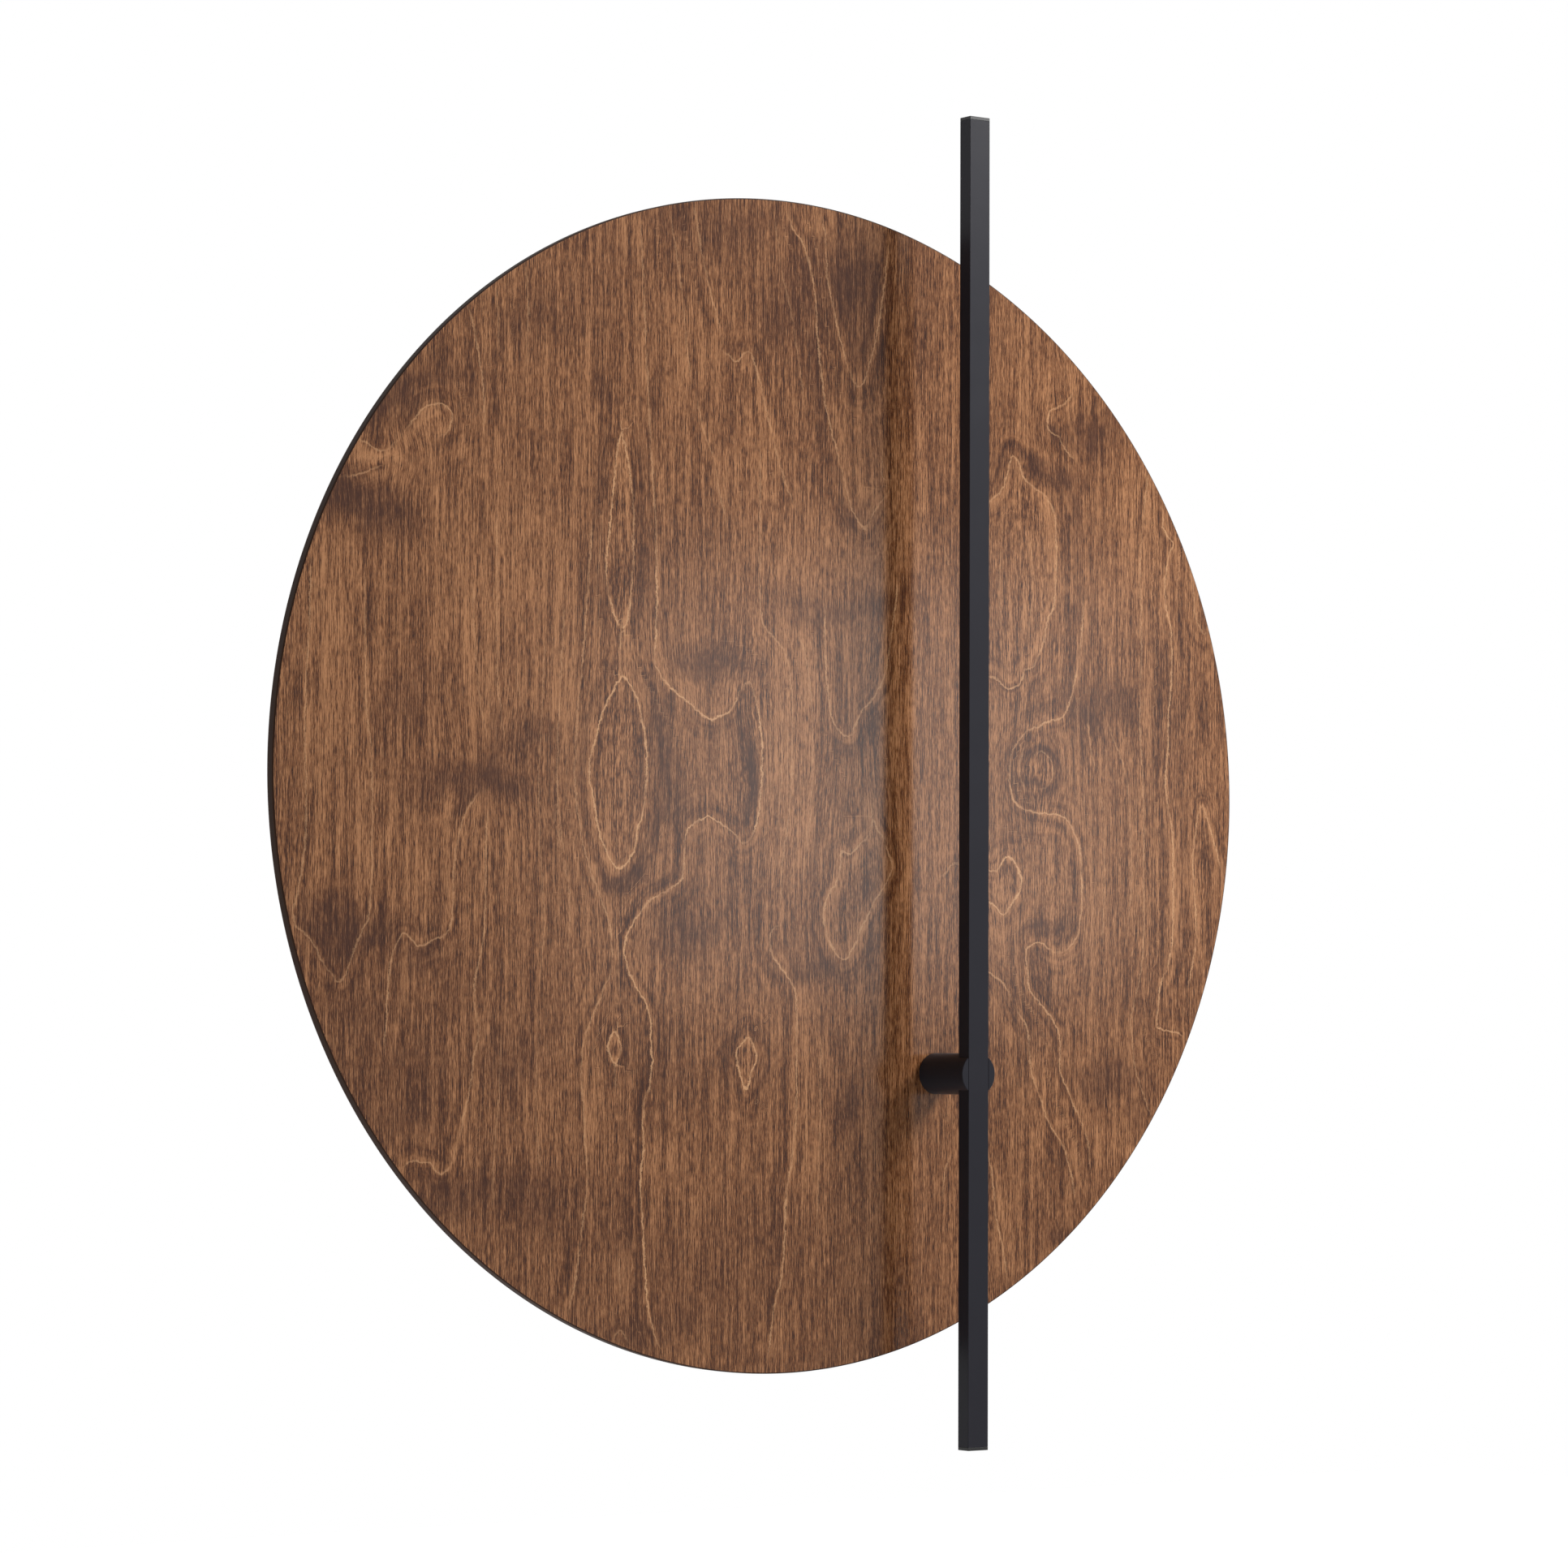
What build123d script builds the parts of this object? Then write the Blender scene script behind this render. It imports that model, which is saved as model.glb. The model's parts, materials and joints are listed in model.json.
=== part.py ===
from build123d import *
import os
from math import atan2, cos, degrees, radians, sin, tan

# Wall lamp: a round plywood disc screwed to a wall canopy, with a slim light bar carried by
# one round post. The post turns in a bush in the disc, so the bar swivels like a clock hand.
#
# Frame: +Z up, +X right, +Y into the wall. The origin is on the wall, on the disc's axis.
# Millimetres. A size ending in "_out" is a distance from the wall towards the room.

# ---- Driving dimensions -------------------------------------------------------------------
disc_diameter = 700.0
disc_thickness = 6.5
disc_edge_round = 0.7

canopy_diameter = 160.0
canopy_depth = 30.0  # wall to the back of the disc
canopy_wall = 1.5
canopy_wall_gap = 1.0  # shadow gap that keeps the cup's rim off the wall

post_x = 115.0
post_z = -172.5
post_diameter = 25.0
bar_standoff = 43.0  # front of the disc to the front of the bar

bar_width = 15.0
bar_depth = 10.0
bar_wall = 1.2
bar_above_post = 577.0
bar_below_post = 223.0
cap_thickness = 2.0

# ---- Smaller sizes ------------------------------------------------------------------------
lip_reach = 1.0
lip_thickness = 0.8
bar_edge_round = 0.25
cap_plug_length = 6.0
cap_edge_round = 0.2
diffuser_flange = 1.0
board_width = 10.0
board_thickness = 1.0
board_end_margin = 10.0
board_block_gap = 3.0  # bar block to the end of each LED board
diffuser_block_gap = 0.2
chip_width = 2.8
chip_length = 3.5
chip_height = 0.7
chip_pitch = 16.0

block_end_inset = 0.5  # block ends inside the post's edge, so the post hides it
block_gap = 0.1  # sliding clearance of what fits inside the profile
slot_gap = 0.25  # post slot to the side of the bar
wire_bore = 7.0
groove_width = 2.2
groove_height = 3.0

nipple_diameter = 10.0
nipple_grip = 12.0  # thread length held by the post
nipple_tail_gap = 1.0
thread_gap = 0.03
running_gap = 0.05
bush_sleeve_diameter = 14.0
bush_flange_diameter = 26.0
bush_flange_thickness = 1.5
slip_ring_diameter = 21.0
slip_ring_thickness = 0.5
ring_gap = 0.35
stop_washer_diameter = 18.0
stop_washer_thickness = 1.0
stop_arm_reach = 17.0
stop_arm_width = 4.0
stop_pin_diameter = 4.0
stop_pin_radius = 15.0
flat_offset = 4.3  # axis to the flat that keys the stop washer
spring_washer_thickness = 1.0
lock_nut_flats = 14.0
lock_nut_thickness = 3.0
lock_nut_count = 2
lock_nut_gap = 0.1
lock_nut_turn = 15.0  # angle from one nut's flats to the next one's

post_screw_diameter = 3.0
post_screw_head = 5.5
post_screw_head_height = 3.0
post_screw_reach = 5.5
post_floor = 9.5  # metal between the screw heads and the bar
post_screw_socket = 2.5  # across the flats of the hexagon socket
head_gap = 0.2
post_edge_break = 0.3

cup_screw_count = 8
cup_screw_inset = 15.0
wood_screw_diameter = 3.5
wood_screw_head = 7.0
wood_screw_head_height = 2.2
wood_screw_bite = 5.0
recess_length = 3.2
recess_width = 0.8
recess_depth = 1.0

plate_thickness = 1.5
plate_gap = 0.5  # between the wall plate's rim and the cup
plate_rim_height = 12.0
wall_slot_spacing = 100.0
wall_slot_length = 20.0
wall_slot_width = 5.0
side_screw_count = 3
side_screw_first_angle = 30.0
side_screw_diameter = 4.0
side_screw_head = 7.0
side_screw_head_height = 2.0
side_screw_length = 8.0

cable_bore = 10.0
cable_grommet_body = 16.0
cable_grommet_flange = 20.0
grommet_flange_thickness = 1.5

driver_length = 92.0
driver_width = 38.0
driver_height = 20.0
driver_z = 32.0
driver_foot_length = 6.0
driver_foot_thickness = 2.0
driver_screw_diameter = 3.0
driver_screw_head = 5.6
driver_corner_round = 0.7
driver_label_margin = 8.0
driver_label_depth = 0.4

terminal_length = 38.0
terminal_width = 20.0
terminal_height = 14.0
terminal_x = -18.0
terminal_z = -35.0
terminal_poles = 3
terminal_pitch = 12.0
terminal_wire_hole = 3.4
terminal_wire_hole_depth = 5.0
terminal_row_spacing = 10.0  # between the two rows of terminal screws
terminal_screw_diameter = 4.0
terminal_screw_height = 2.0
terminal_fixing_diameter = 3.0
terminal_fixing_head = 4.8
terminal_fixing_depth = 4.0  # top of the block down to the seat of the fixing screw

earth_x = 26.0
earth_z = -42.0
earth_screw_head = 8.0
ring_terminal_diameter = 9.0
ring_terminal_thickness = 0.8
ring_terminal_tongue = 13.5  # ring's centre to the end of its tongue

lead_diameter = 4.4
lead_clip_out_gap = 3.7  # lead's centre to the back of the disc at the clips
wire_diameter = 1.6
supply_wire_diameter = 2.4
lead_grommet_body = 7.2
lead_grommet_flange = 9.6
lead_grommet_gap = 0.25
lead_entry_depth = 10.0  # lead's centre to the back of the disc at the cup's wall
clip_radii = (128.0, 152.0)  # distances of the clips from the disc's axis
clip_length = 8.0
clip_foot_width = 24.0
clip_foot_thickness = 1.6
clip_hump_width = 8.4
clip_gap = 0.15
clip_screw_diameter = 2.4
clip_screw_head = 4.6
clip_screw_head_height = 1.4
clip_screw_bite = 4.0

supply_depth = 8.0  # room side of the driver to the supply wires
supply_side_gap = 12.0  # driver's end to the supply wires' bend
supply_rise = 12.0  # terminal block to the supply wires' first bend
supply_drop = 10.0  # driver's lower side to the supply wires' bend
supply_spread = 3.0  # half the distance between the supply wires at their bends
supply_entry_spread = 4.0  # the same where they enter the driver
supply_lean = 1.0
earth_rise = 8.0  # terminal block to the earth wire's first bend
earth_run = 8.0  # earth screw to the earth wire's second bend
earth_landing = 8.1  # length of earth wire that lies on the ring terminal
lead_depth_at_post = 9.0  # lock nuts to the lead's first bend
lead_depth_at_turn = 12.0  # lock nuts to the lead's second bend
lead_turn_run = 18.0  # post's axis to the lead's second bend
lead_clip_run = 14.0  # clips to the bends before and after them
lead_outer_run = 10.0  # cup's wall to the bend outside it
lead_inner_run = 24.0  # cup's wall to the bend inside it
lead_beside_driver = ((6.0, 46.0), (14.0, 22.0), (13.0, 0.0))  # past its end, below its middle
core_spread = 2.25  # post's axis to each core where it leaves the lead
core_rise = 1.0
core_fork = 2.6  # post's axis to the height where the cores lie in their grooves
core_bow = 0.1
core_ramp = 5.0  # length over which a core rises to the board
core_landing = 4.0  # length of core that lies on the board

# ---- Worked out from the driving dimensions ------------------------------------------------
disc_radius = disc_diameter / 2
disc_back_out = canopy_depth
disc_front_out = disc_back_out + disc_thickness
bar_front_out = disc_front_out + bar_standoff
bar_back_out = bar_front_out - bar_depth
post_base_out = disc_front_out + slip_ring_thickness
cup_radius = canopy_diameter / 2
cup_inner_radius = cup_radius - canopy_wall
cup_floor_out = disc_back_out - canopy_wall
plate_radius = cup_inner_radius - plate_gap

bush_back_out = disc_back_out - bush_flange_thickness
stop_washer_out = bush_back_out - stop_washer_thickness
spring_washer_out = stop_washer_out - spring_washer_thickness
nut_back_out = spring_washer_out - lock_nut_count * lock_nut_thickness
nipple_back_out = nut_back_out - nipple_tail_gap
nipple_front_out = post_base_out + nipple_grip

block_length = post_diameter - 2 * block_end_inset
inner_width = bar_width - 2 * bar_wall
mouth_width = inner_width - 2 * lip_reach
inner_front_out = bar_front_out - bar_wall
lip_inner_out = bar_back_out + lip_thickness
board_out = inner_front_out - board_thickness
bar_top_z = post_z + bar_above_post
bar_bottom_z = post_z - bar_below_post
diffuser_start = block_length / 2 + diffuser_block_gap
board_start = block_length / 2 + board_block_gap
board_top_z = bar_top_z - board_end_margin
board_bottom_z = bar_bottom_z + board_end_margin

post_screw_offset = (post_diameter + nipple_diameter) / 4
post_screw_seat_out = bar_back_out - post_floor
cup_screw_circle = canopy_diameter - 2 * cup_screw_inset
side_screw_out = canopy_wall_gap + plate_rim_height / 2
driver_foot_x = driver_length / 2 + driver_foot_length / 2
driver_back_out = cup_floor_out - driver_height
terminal_out = plate_thickness + terminal_height

lead_angle = degrees(atan2(post_z, post_x))
post_distance = (post_x**2 + post_z**2) ** 0.5
lead_entry_out = disc_back_out - lead_entry_depth
lead_clip_out = disc_back_out - lead_clip_out_gap


# ---- Places --------------------------------------------------------------------------------
def wall_parallel(out, x=0.0, z=0.0):
    """A plane parallel to the wall that faces the room, with its own X to the right and Y up."""
    return Plane(origin=(x, -out, z), x_dir=(1, 0, 0), z_dir=(0, -1, 0))


def bar_section(z):
    """A level plane through the bar at height z, with its own Y pointing at the wall."""
    return Plane(origin=(post_x, 0, z), x_dir=(1, 0, 0), z_dir=(0, 0, 1))


def radial_plane(angle, radius, out):
    """A plane square to the ray at this angle, facing away from the disc's axis."""
    ray = (cos(radians(angle)), 0, sin(radians(angle)))
    return Plane(origin=(radius * ray[0], -out, radius * ray[2]), x_dir=(0, 1, 0), z_dir=ray)


def on_lead_ray(radius, out):
    """A point above the line from the disc's axis to the post."""
    return (
        radius * cos(radians(lead_angle)),
        -out,
        radius * sin(radians(lead_angle)),
    )


def corner_radii(points, share=0.45):
    """The largest bend at each corner that leaves straight wire between the bends."""
    radii = []
    corners = [Vector(*point) for point in points]
    for before, here, after in zip(corners, corners[1:], corners[2:]):
        run_in, run_out = here - before, after - here
        half_turn = radians(run_in.get_angle(run_out)) / 2
        radii.append(share * min(run_in.length, run_out.length) / tan(half_turn))
    return radii


def route_start(points):
    """The plane square to a route at its first point."""
    first, second = Vector(*points[0]), Vector(*points[1])
    return Plane(origin=first, z_dir=second - first)


disc_back = wall_parallel(disc_back_out)
swivel = wall_parallel(0, post_x, post_z)
cup_screw_spots = PolarLocations(cup_screw_circle / 2, cup_screw_count, 180 / cup_screw_count)
driver_screw_spots = [(-driver_foot_x, driver_z), (driver_foot_x, driver_z)]
clip_side = (clip_foot_width + clip_hump_width) / 4
clip_screw_spots = [
    (
        radius * cos(radians(lead_angle)) - side * clip_side * sin(radians(lead_angle)),
        radius * sin(radians(lead_angle)) + side * clip_side * cos(radians(lead_angle)),
    )
    for radius in clip_radii
    for side in (-1, 1)
]
terminal_spots = [
    (terminal_x + (pole - (terminal_poles - 1) / 2) * terminal_pitch, terminal_z)
    for pole in range(terminal_poles)
]
stop_pin_spot = (post_x, post_z + stop_pin_radius)

# ---- Disc ----------------------------------------------------------------------------------
with BuildPart() as disc_panel:
    with BuildSketch(disc_back):
        Circle(disc_radius)
        with Locations((post_x, post_z)):
            Circle(bush_sleeve_diameter / 2 + thread_gap, mode=Mode.SUBTRACT)
    extrude(amount=disc_thickness)
    fillet(disc_panel.edges().sort_by(SortBy.LENGTH)[-2:], disc_edge_round)
    with BuildSketch(disc_back):
        with cup_screw_spots:
            Circle(wood_screw_diameter / 2 + thread_gap)
        with Locations(*driver_screw_spots):
            Circle(driver_screw_diameter / 2 + thread_gap)
    extrude(amount=wood_screw_bite + head_gap, mode=Mode.SUBTRACT)
    with BuildSketch(disc_back):
        with Locations(*clip_screw_spots):
            Circle(clip_screw_diameter / 2 + thread_gap)
        with Locations(stop_pin_spot):
            Circle(clip_screw_diameter / 2 + thread_gap)
    extrude(amount=clip_screw_bite + head_gap, mode=Mode.SUBTRACT)

# ---- Wall canopy ---------------------------------------------------------------------------
with BuildPart() as canopy_cup:
    with BuildSketch(wall_parallel(canopy_wall_gap)):
        Circle(cup_radius)
    extrude(amount=canopy_depth - canopy_wall_gap)
    with BuildSketch(wall_parallel(canopy_wall_gap)):
        Circle(cup_inner_radius)
    extrude(amount=cup_floor_out - canopy_wall_gap, mode=Mode.SUBTRACT)
    with BuildSketch(wall_parallel(cup_floor_out)):
        with cup_screw_spots:
            Circle(wood_screw_diameter / 2 + head_gap)
        with Locations(*driver_screw_spots):
            Circle(driver_screw_diameter / 2 + head_gap)
    extrude(amount=canopy_wall, mode=Mode.SUBTRACT)
    for turn in range(side_screw_count):
        side_angle = side_screw_first_angle + turn * 360 / side_screw_count
        with BuildSketch(radial_plane(side_angle, plate_radius, side_screw_out)):
            Circle(side_screw_diameter / 2 + head_gap)
        extrude(amount=2 * canopy_wall + plate_gap, mode=Mode.SUBTRACT)
    with BuildSketch(radial_plane(lead_angle, plate_radius, lead_entry_out)):
        Circle(lead_grommet_body / 2 + thread_gap)
    extrude(amount=2 * canopy_wall + plate_gap, mode=Mode.SUBTRACT)

with BuildPart() as cup_screws:
    with BuildSketch(wall_parallel(cup_floor_out - wood_screw_head_height)):
        with cup_screw_spots:
            Circle(wood_screw_head / 2)
    extrude(amount=wood_screw_head_height)
    with BuildSketch(wall_parallel(cup_floor_out)):
        with cup_screw_spots:
            Circle(wood_screw_diameter / 2)
    extrude(amount=canopy_wall + wood_screw_bite)
    with BuildSketch(wall_parallel(cup_floor_out - wood_screw_head_height)):
        with cup_screw_spots:
            Rectangle(recess_length, recess_width)
            Rectangle(recess_width, recess_length)
    extrude(amount=recess_depth, mode=Mode.SUBTRACT)

with BuildPart() as wall_plate:
    with BuildSketch(wall_parallel(0)):
        Circle(plate_radius)
    extrude(amount=plate_rim_height)
    with BuildSketch(wall_parallel(plate_thickness)):
        Circle(plate_radius - canopy_wall)
    extrude(amount=plate_rim_height, mode=Mode.SUBTRACT)
    with BuildSketch(wall_parallel(0)):
        Circle(cable_grommet_body / 2 + thread_gap)
        with GridLocations(wall_slot_spacing, 0, 2, 1):
            SlotOverall(wall_slot_length, wall_slot_width)
        with Locations((earth_x, earth_z)):
            Circle(side_screw_diameter / 2 + thread_gap)
        with Locations((terminal_x, terminal_z)):
            Circle(terminal_fixing_diameter / 2 + thread_gap)
    extrude(amount=plate_thickness, mode=Mode.SUBTRACT)
    for turn in range(side_screw_count):
        side_angle = side_screw_first_angle + turn * 360 / side_screw_count
        side_hole = radial_plane(side_angle, plate_radius - 2 * canopy_wall, side_screw_out)
        with BuildSketch(side_hole):
            Circle(side_screw_diameter / 2 + thread_gap)
        extrude(amount=3 * canopy_wall, mode=Mode.SUBTRACT)

with BuildPart() as side_screws:
    for turn in range(side_screw_count):
        side_angle = side_screw_first_angle + turn * 360 / side_screw_count
        with BuildSketch(radial_plane(side_angle, cup_radius, side_screw_out)):
            Circle(side_screw_head / 2)
        extrude(amount=side_screw_head_height)
        with BuildSketch(radial_plane(side_angle, cup_radius, side_screw_out)):
            Circle(side_screw_diameter / 2)
        extrude(amount=-side_screw_length)
        head_top = cup_radius + side_screw_head_height
        with BuildSketch(radial_plane(side_angle, head_top, side_screw_out)):
            Rectangle(recess_length, recess_width)
            Rectangle(recess_width, recess_length)
        extrude(amount=-recess_depth, mode=Mode.SUBTRACT)

with BuildPart() as cable_grommet:
    with BuildSketch(wall_parallel(0)):
        Circle(cable_grommet_body / 2)
        Circle(cable_bore / 2, mode=Mode.SUBTRACT)
    extrude(amount=plate_thickness)
    with BuildSketch(wall_parallel(plate_thickness)):
        Circle(cable_grommet_flange / 2)
        Circle(cable_bore / 2, mode=Mode.SUBTRACT)
    extrude(amount=grommet_flange_thickness)

with BuildPart() as lead_grommet:
    flange_spans = (
        (cup_radius, grommet_flange_thickness),
        (cup_inner_radius - lead_grommet_gap, -grommet_flange_thickness),
    )
    for flange_radius, flange_height in flange_spans:
        with BuildSketch(radial_plane(lead_angle, flange_radius, lead_entry_out)):
            Circle(lead_grommet_flange / 2)
        extrude(amount=flange_height)
    with BuildSketch(radial_plane(lead_angle, cup_radius, lead_entry_out)):
        Circle(lead_grommet_body / 2)
    extrude(amount=-(canopy_wall + lead_grommet_gap))
    bore_start = cup_radius + 2 * grommet_flange_thickness
    with BuildSketch(radial_plane(lead_angle, bore_start, lead_entry_out)):
        Circle(lead_diameter / 2 + clip_gap)
    extrude(amount=-(4 * grommet_flange_thickness + 2 * canopy_wall), mode=Mode.SUBTRACT)

# ---- Driver and wiring in the canopy -------------------------------------------------------
with BuildPart() as led_driver:
    with BuildSketch(wall_parallel(driver_back_out, 0, driver_z)):
        RectangleRounded(driver_length, driver_width, driver_corner_round)
    extrude(amount=driver_height)
    with BuildSketch(wall_parallel(cup_floor_out - driver_foot_thickness, 0, driver_z)):
        Rectangle(driver_length + 2 * driver_foot_length, driver_width / 2)
        with Locations((-driver_foot_x, 0), (driver_foot_x, 0)):
            Circle(driver_screw_diameter / 2 + head_gap, mode=Mode.SUBTRACT)
    extrude(amount=driver_foot_thickness)
    with BuildSketch(wall_parallel(driver_back_out, 0, driver_z)):
        Rectangle(driver_length - 2 * driver_label_margin, driver_width - 2 * driver_label_margin)
    extrude(amount=driver_label_depth, mode=Mode.SUBTRACT)

with BuildPart() as driver_screws:
    driver_head_out = cup_floor_out - driver_foot_thickness - wood_screw_head_height
    with BuildSketch(wall_parallel(driver_head_out)):
        with Locations(*driver_screw_spots):
            Circle(driver_screw_head / 2)
    extrude(amount=wood_screw_head_height)
    with BuildSketch(wall_parallel(driver_head_out + wood_screw_head_height)):
        with Locations(*driver_screw_spots):
            Circle(driver_screw_diameter / 2)
    extrude(amount=driver_foot_thickness + canopy_wall + wood_screw_bite)
    with BuildSketch(wall_parallel(driver_head_out)):
        with Locations(*driver_screw_spots):
            Rectangle(recess_length, recess_width)
            Rectangle(recess_width, recess_length)
    extrude(amount=recess_depth, mode=Mode.SUBTRACT)

with BuildPart() as terminal_block:
    with BuildSketch(wall_parallel(plate_thickness, terminal_x, terminal_z)):
        Rectangle(terminal_length, terminal_width)
    extrude(amount=terminal_height)
    wire_hole_out = plate_thickness + terminal_height / 2
    for side in (-1, 1):
        hole_z = terminal_z + side * terminal_width / 2
        with BuildSketch(Plane.XY.offset(hole_z)):
            with Locations(*[(x, -wire_hole_out) for x, z in terminal_spots]):
                Circle(terminal_wire_hole / 2)
        extrude(amount=-side * terminal_wire_hole_depth, mode=Mode.SUBTRACT)
    with BuildSketch(wall_parallel(terminal_out)):
        with Locations(*terminal_spots):
            with GridLocations(0, terminal_row_spacing, 1, 2):
                Circle(terminal_screw_diameter / 2 + thread_gap)
    extrude(amount=-terminal_screw_height, mode=Mode.SUBTRACT)
    with BuildSketch(wall_parallel(terminal_out, terminal_x, terminal_z)):
        Circle(terminal_fixing_head / 2 + thread_gap)
    extrude(amount=-terminal_fixing_depth, mode=Mode.SUBTRACT)
    with BuildSketch(wall_parallel(terminal_out, terminal_x, terminal_z)):
        Circle(terminal_fixing_diameter / 2 + thread_gap)
    extrude(amount=-terminal_height, mode=Mode.SUBTRACT)

with BuildPart() as terminal_fixing_screw:
    terminal_seat_out = terminal_out - terminal_fixing_depth
    with BuildSketch(wall_parallel(terminal_seat_out, terminal_x, terminal_z)):
        Circle(terminal_fixing_head / 2)
    extrude(amount=side_screw_head_height)
    with BuildSketch(wall_parallel(terminal_seat_out, terminal_x, terminal_z)):
        Circle(terminal_fixing_diameter / 2)
    extrude(amount=-terminal_seat_out)
    terminal_head_out = terminal_seat_out + side_screw_head_height
    with BuildSketch(wall_parallel(terminal_head_out, terminal_x, terminal_z)):
        Rectangle(recess_length, recess_width)
    extrude(amount=-recess_depth, mode=Mode.SUBTRACT)

with BuildPart() as terminal_screws:
    with BuildSketch(wall_parallel(terminal_out - terminal_screw_height)):
        with Locations(*terminal_spots):
            with GridLocations(0, terminal_row_spacing, 1, 2):
                Circle(terminal_screw_diameter / 2)
    extrude(amount=terminal_screw_height - head_gap)
    with BuildSketch(wall_parallel(terminal_out - head_gap)):
        with Locations(*terminal_spots):
            with GridLocations(0, terminal_row_spacing, 1, 2):
                Rectangle(recess_length, recess_width)
    extrude(amount=-recess_depth, mode=Mode.SUBTRACT)

with BuildPart() as earth_terminal:
    with BuildSketch(wall_parallel(plate_thickness, earth_x, earth_z)):
        Circle(ring_terminal_diameter / 2)
        with Locations((0, ring_terminal_tongue / 2)):
            Rectangle(supply_wire_diameter, ring_terminal_tongue)
        Circle(side_screw_diameter / 2 + thread_gap, mode=Mode.SUBTRACT)
    extrude(amount=ring_terminal_thickness)

with BuildPart() as earth_screw:
    earth_head_out = plate_thickness + ring_terminal_thickness
    with BuildSketch(wall_parallel(earth_head_out, earth_x, earth_z)):
        Circle(earth_screw_head / 2)
    extrude(amount=side_screw_head_height)
    with BuildSketch(wall_parallel(earth_head_out, earth_x, earth_z)):
        Circle(side_screw_diameter / 2)
    extrude(amount=-earth_head_out)
    with BuildSketch(wall_parallel(earth_head_out + side_screw_head_height, earth_x, earth_z)):
        Rectangle(recess_length, recess_width)
        Rectangle(recess_width, recess_length)
    extrude(amount=-recess_depth, mode=Mode.SUBTRACT)


def terminal_exit(pole):
    """Where a wire leaves the upper side of the terminal block."""
    return (terminal_spots[pole][0], -wire_hole_out, terminal_z + terminal_width / 2)


driver_left = -driver_length / 2
driver_bottom_z = driver_z - driver_width / 2
supply_out = driver_back_out + supply_depth
supply_routes = []
for pole, spread in ((0, -1), (1, 1)):
    wire_x, wire_y, wire_z = terminal_exit(pole)
    bend_x = driver_left - supply_side_gap + supply_spread * spread
    supply_routes.append(
        [
            (wire_x, wire_y, wire_z),
            (wire_x - supply_lean, wire_y, wire_z + supply_rise + supply_spread * spread),
            (bend_x, -supply_out, driver_bottom_z - supply_drop + supply_spread * spread),
            (bend_x, -supply_out, driver_z - supply_entry_spread * spread),
            (driver_left, -supply_out, driver_z - supply_entry_spread * spread),
        ]
    )
with BuildPart() as supply_wires:
    for route in supply_routes:
        with BuildLine() as wire_path:
            FilletPolyline(*route, radius=corner_radii(route))
        with BuildSketch(route_start(route)):
            Circle(supply_wire_diameter / 2)
        sweep(path=wire_path.line)

earth_wire_out = plate_thickness + ring_terminal_thickness + supply_wire_diameter / 2
earth_exit_x, earth_exit_y, earth_exit_z = terminal_exit(terminal_poles - 1)
earth_route = [
    (earth_exit_x, earth_exit_y, earth_exit_z),
    (earth_exit_x + supply_lean, earth_exit_y, earth_exit_z + earth_rise),
    (earth_x - earth_run, earth_exit_y + supply_lean, earth_exit_z + earth_rise + supply_lean),
    (earth_x, -earth_wire_out, earth_z + ring_terminal_diameter + earth_landing),
    (earth_x, -earth_wire_out, earth_z + ring_terminal_diameter),
]
with BuildPart() as earth_wire:
    with BuildLine() as wire_path:
        FilletPolyline(*earth_route, radius=corner_radii(earth_route))
    with BuildSketch(route_start(earth_route)):
        Circle(supply_wire_diameter / 2)
    sweep(path=wire_path.line)

# ---- Lamp lead: down the post, along the back of the disc, into the canopy --------------------
lead_front_out = bar_back_out + groove_height
lead_route = [
    on_lead_ray(post_distance, lead_front_out),
    on_lead_ray(post_distance, nut_back_out - lead_depth_at_post),
    on_lead_ray(post_distance - lead_turn_run, nut_back_out - lead_depth_at_turn),
    on_lead_ray(clip_radii[-1] + lead_clip_run, lead_clip_out),
    on_lead_ray(clip_radii[0] - lead_clip_run, lead_clip_out),
    on_lead_ray(cup_radius + lead_outer_run, lead_entry_out),
    on_lead_ray(cup_radius - lead_inner_run, lead_entry_out),
]
for past_end, below_middle in lead_beside_driver:
    lead_route.append((driver_length / 2 + past_end, -lead_entry_out, driver_z - below_middle))
lead_route.append((driver_length / 2, -lead_entry_out, driver_z))
with BuildPart() as lamp_lead:
    with BuildLine() as lead_path:
        FilletPolyline(*lead_route, radius=corner_radii(lead_route))
    with BuildSketch(route_start(lead_route)):
        Circle(lead_diameter / 2)
    sweep(path=lead_path.line)

with BuildPart() as lead_clips:
    for radius in clip_radii:
        clip_start = radius - clip_length / 2
        with BuildSketch(radial_plane(lead_angle, clip_start, disc_back_out)):
            with Locations((clip_foot_thickness / 2, 0)):
                Rectangle(clip_foot_thickness, clip_foot_width)
            hump_height = lead_clip_out_gap + lead_diameter / 2 + clip_foot_thickness
            with Locations((hump_height / 2, 0)):
                Rectangle(hump_height, clip_hump_width)
            with Locations((lead_clip_out_gap, 0)):
                Circle(lead_diameter / 2 + clip_gap, mode=Mode.SUBTRACT)
        extrude(amount=clip_length)
    with BuildSketch(wall_parallel(disc_back_out - clip_foot_thickness)):
        with Locations(*clip_screw_spots):
            Circle(clip_screw_diameter / 2 + thread_gap)
    extrude(amount=clip_foot_thickness, mode=Mode.SUBTRACT)

with BuildPart() as clip_screws:
    clip_head_out = disc_back_out - clip_foot_thickness
    with BuildSketch(wall_parallel(clip_head_out)):
        with Locations(*clip_screw_spots):
            Circle(clip_screw_head / 2)
    extrude(amount=-clip_screw_head_height)
    with BuildSketch(wall_parallel(clip_head_out)):
        with Locations(*clip_screw_spots):
            Circle(clip_screw_diameter / 2)
    extrude(amount=clip_foot_thickness + clip_screw_bite)

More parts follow.
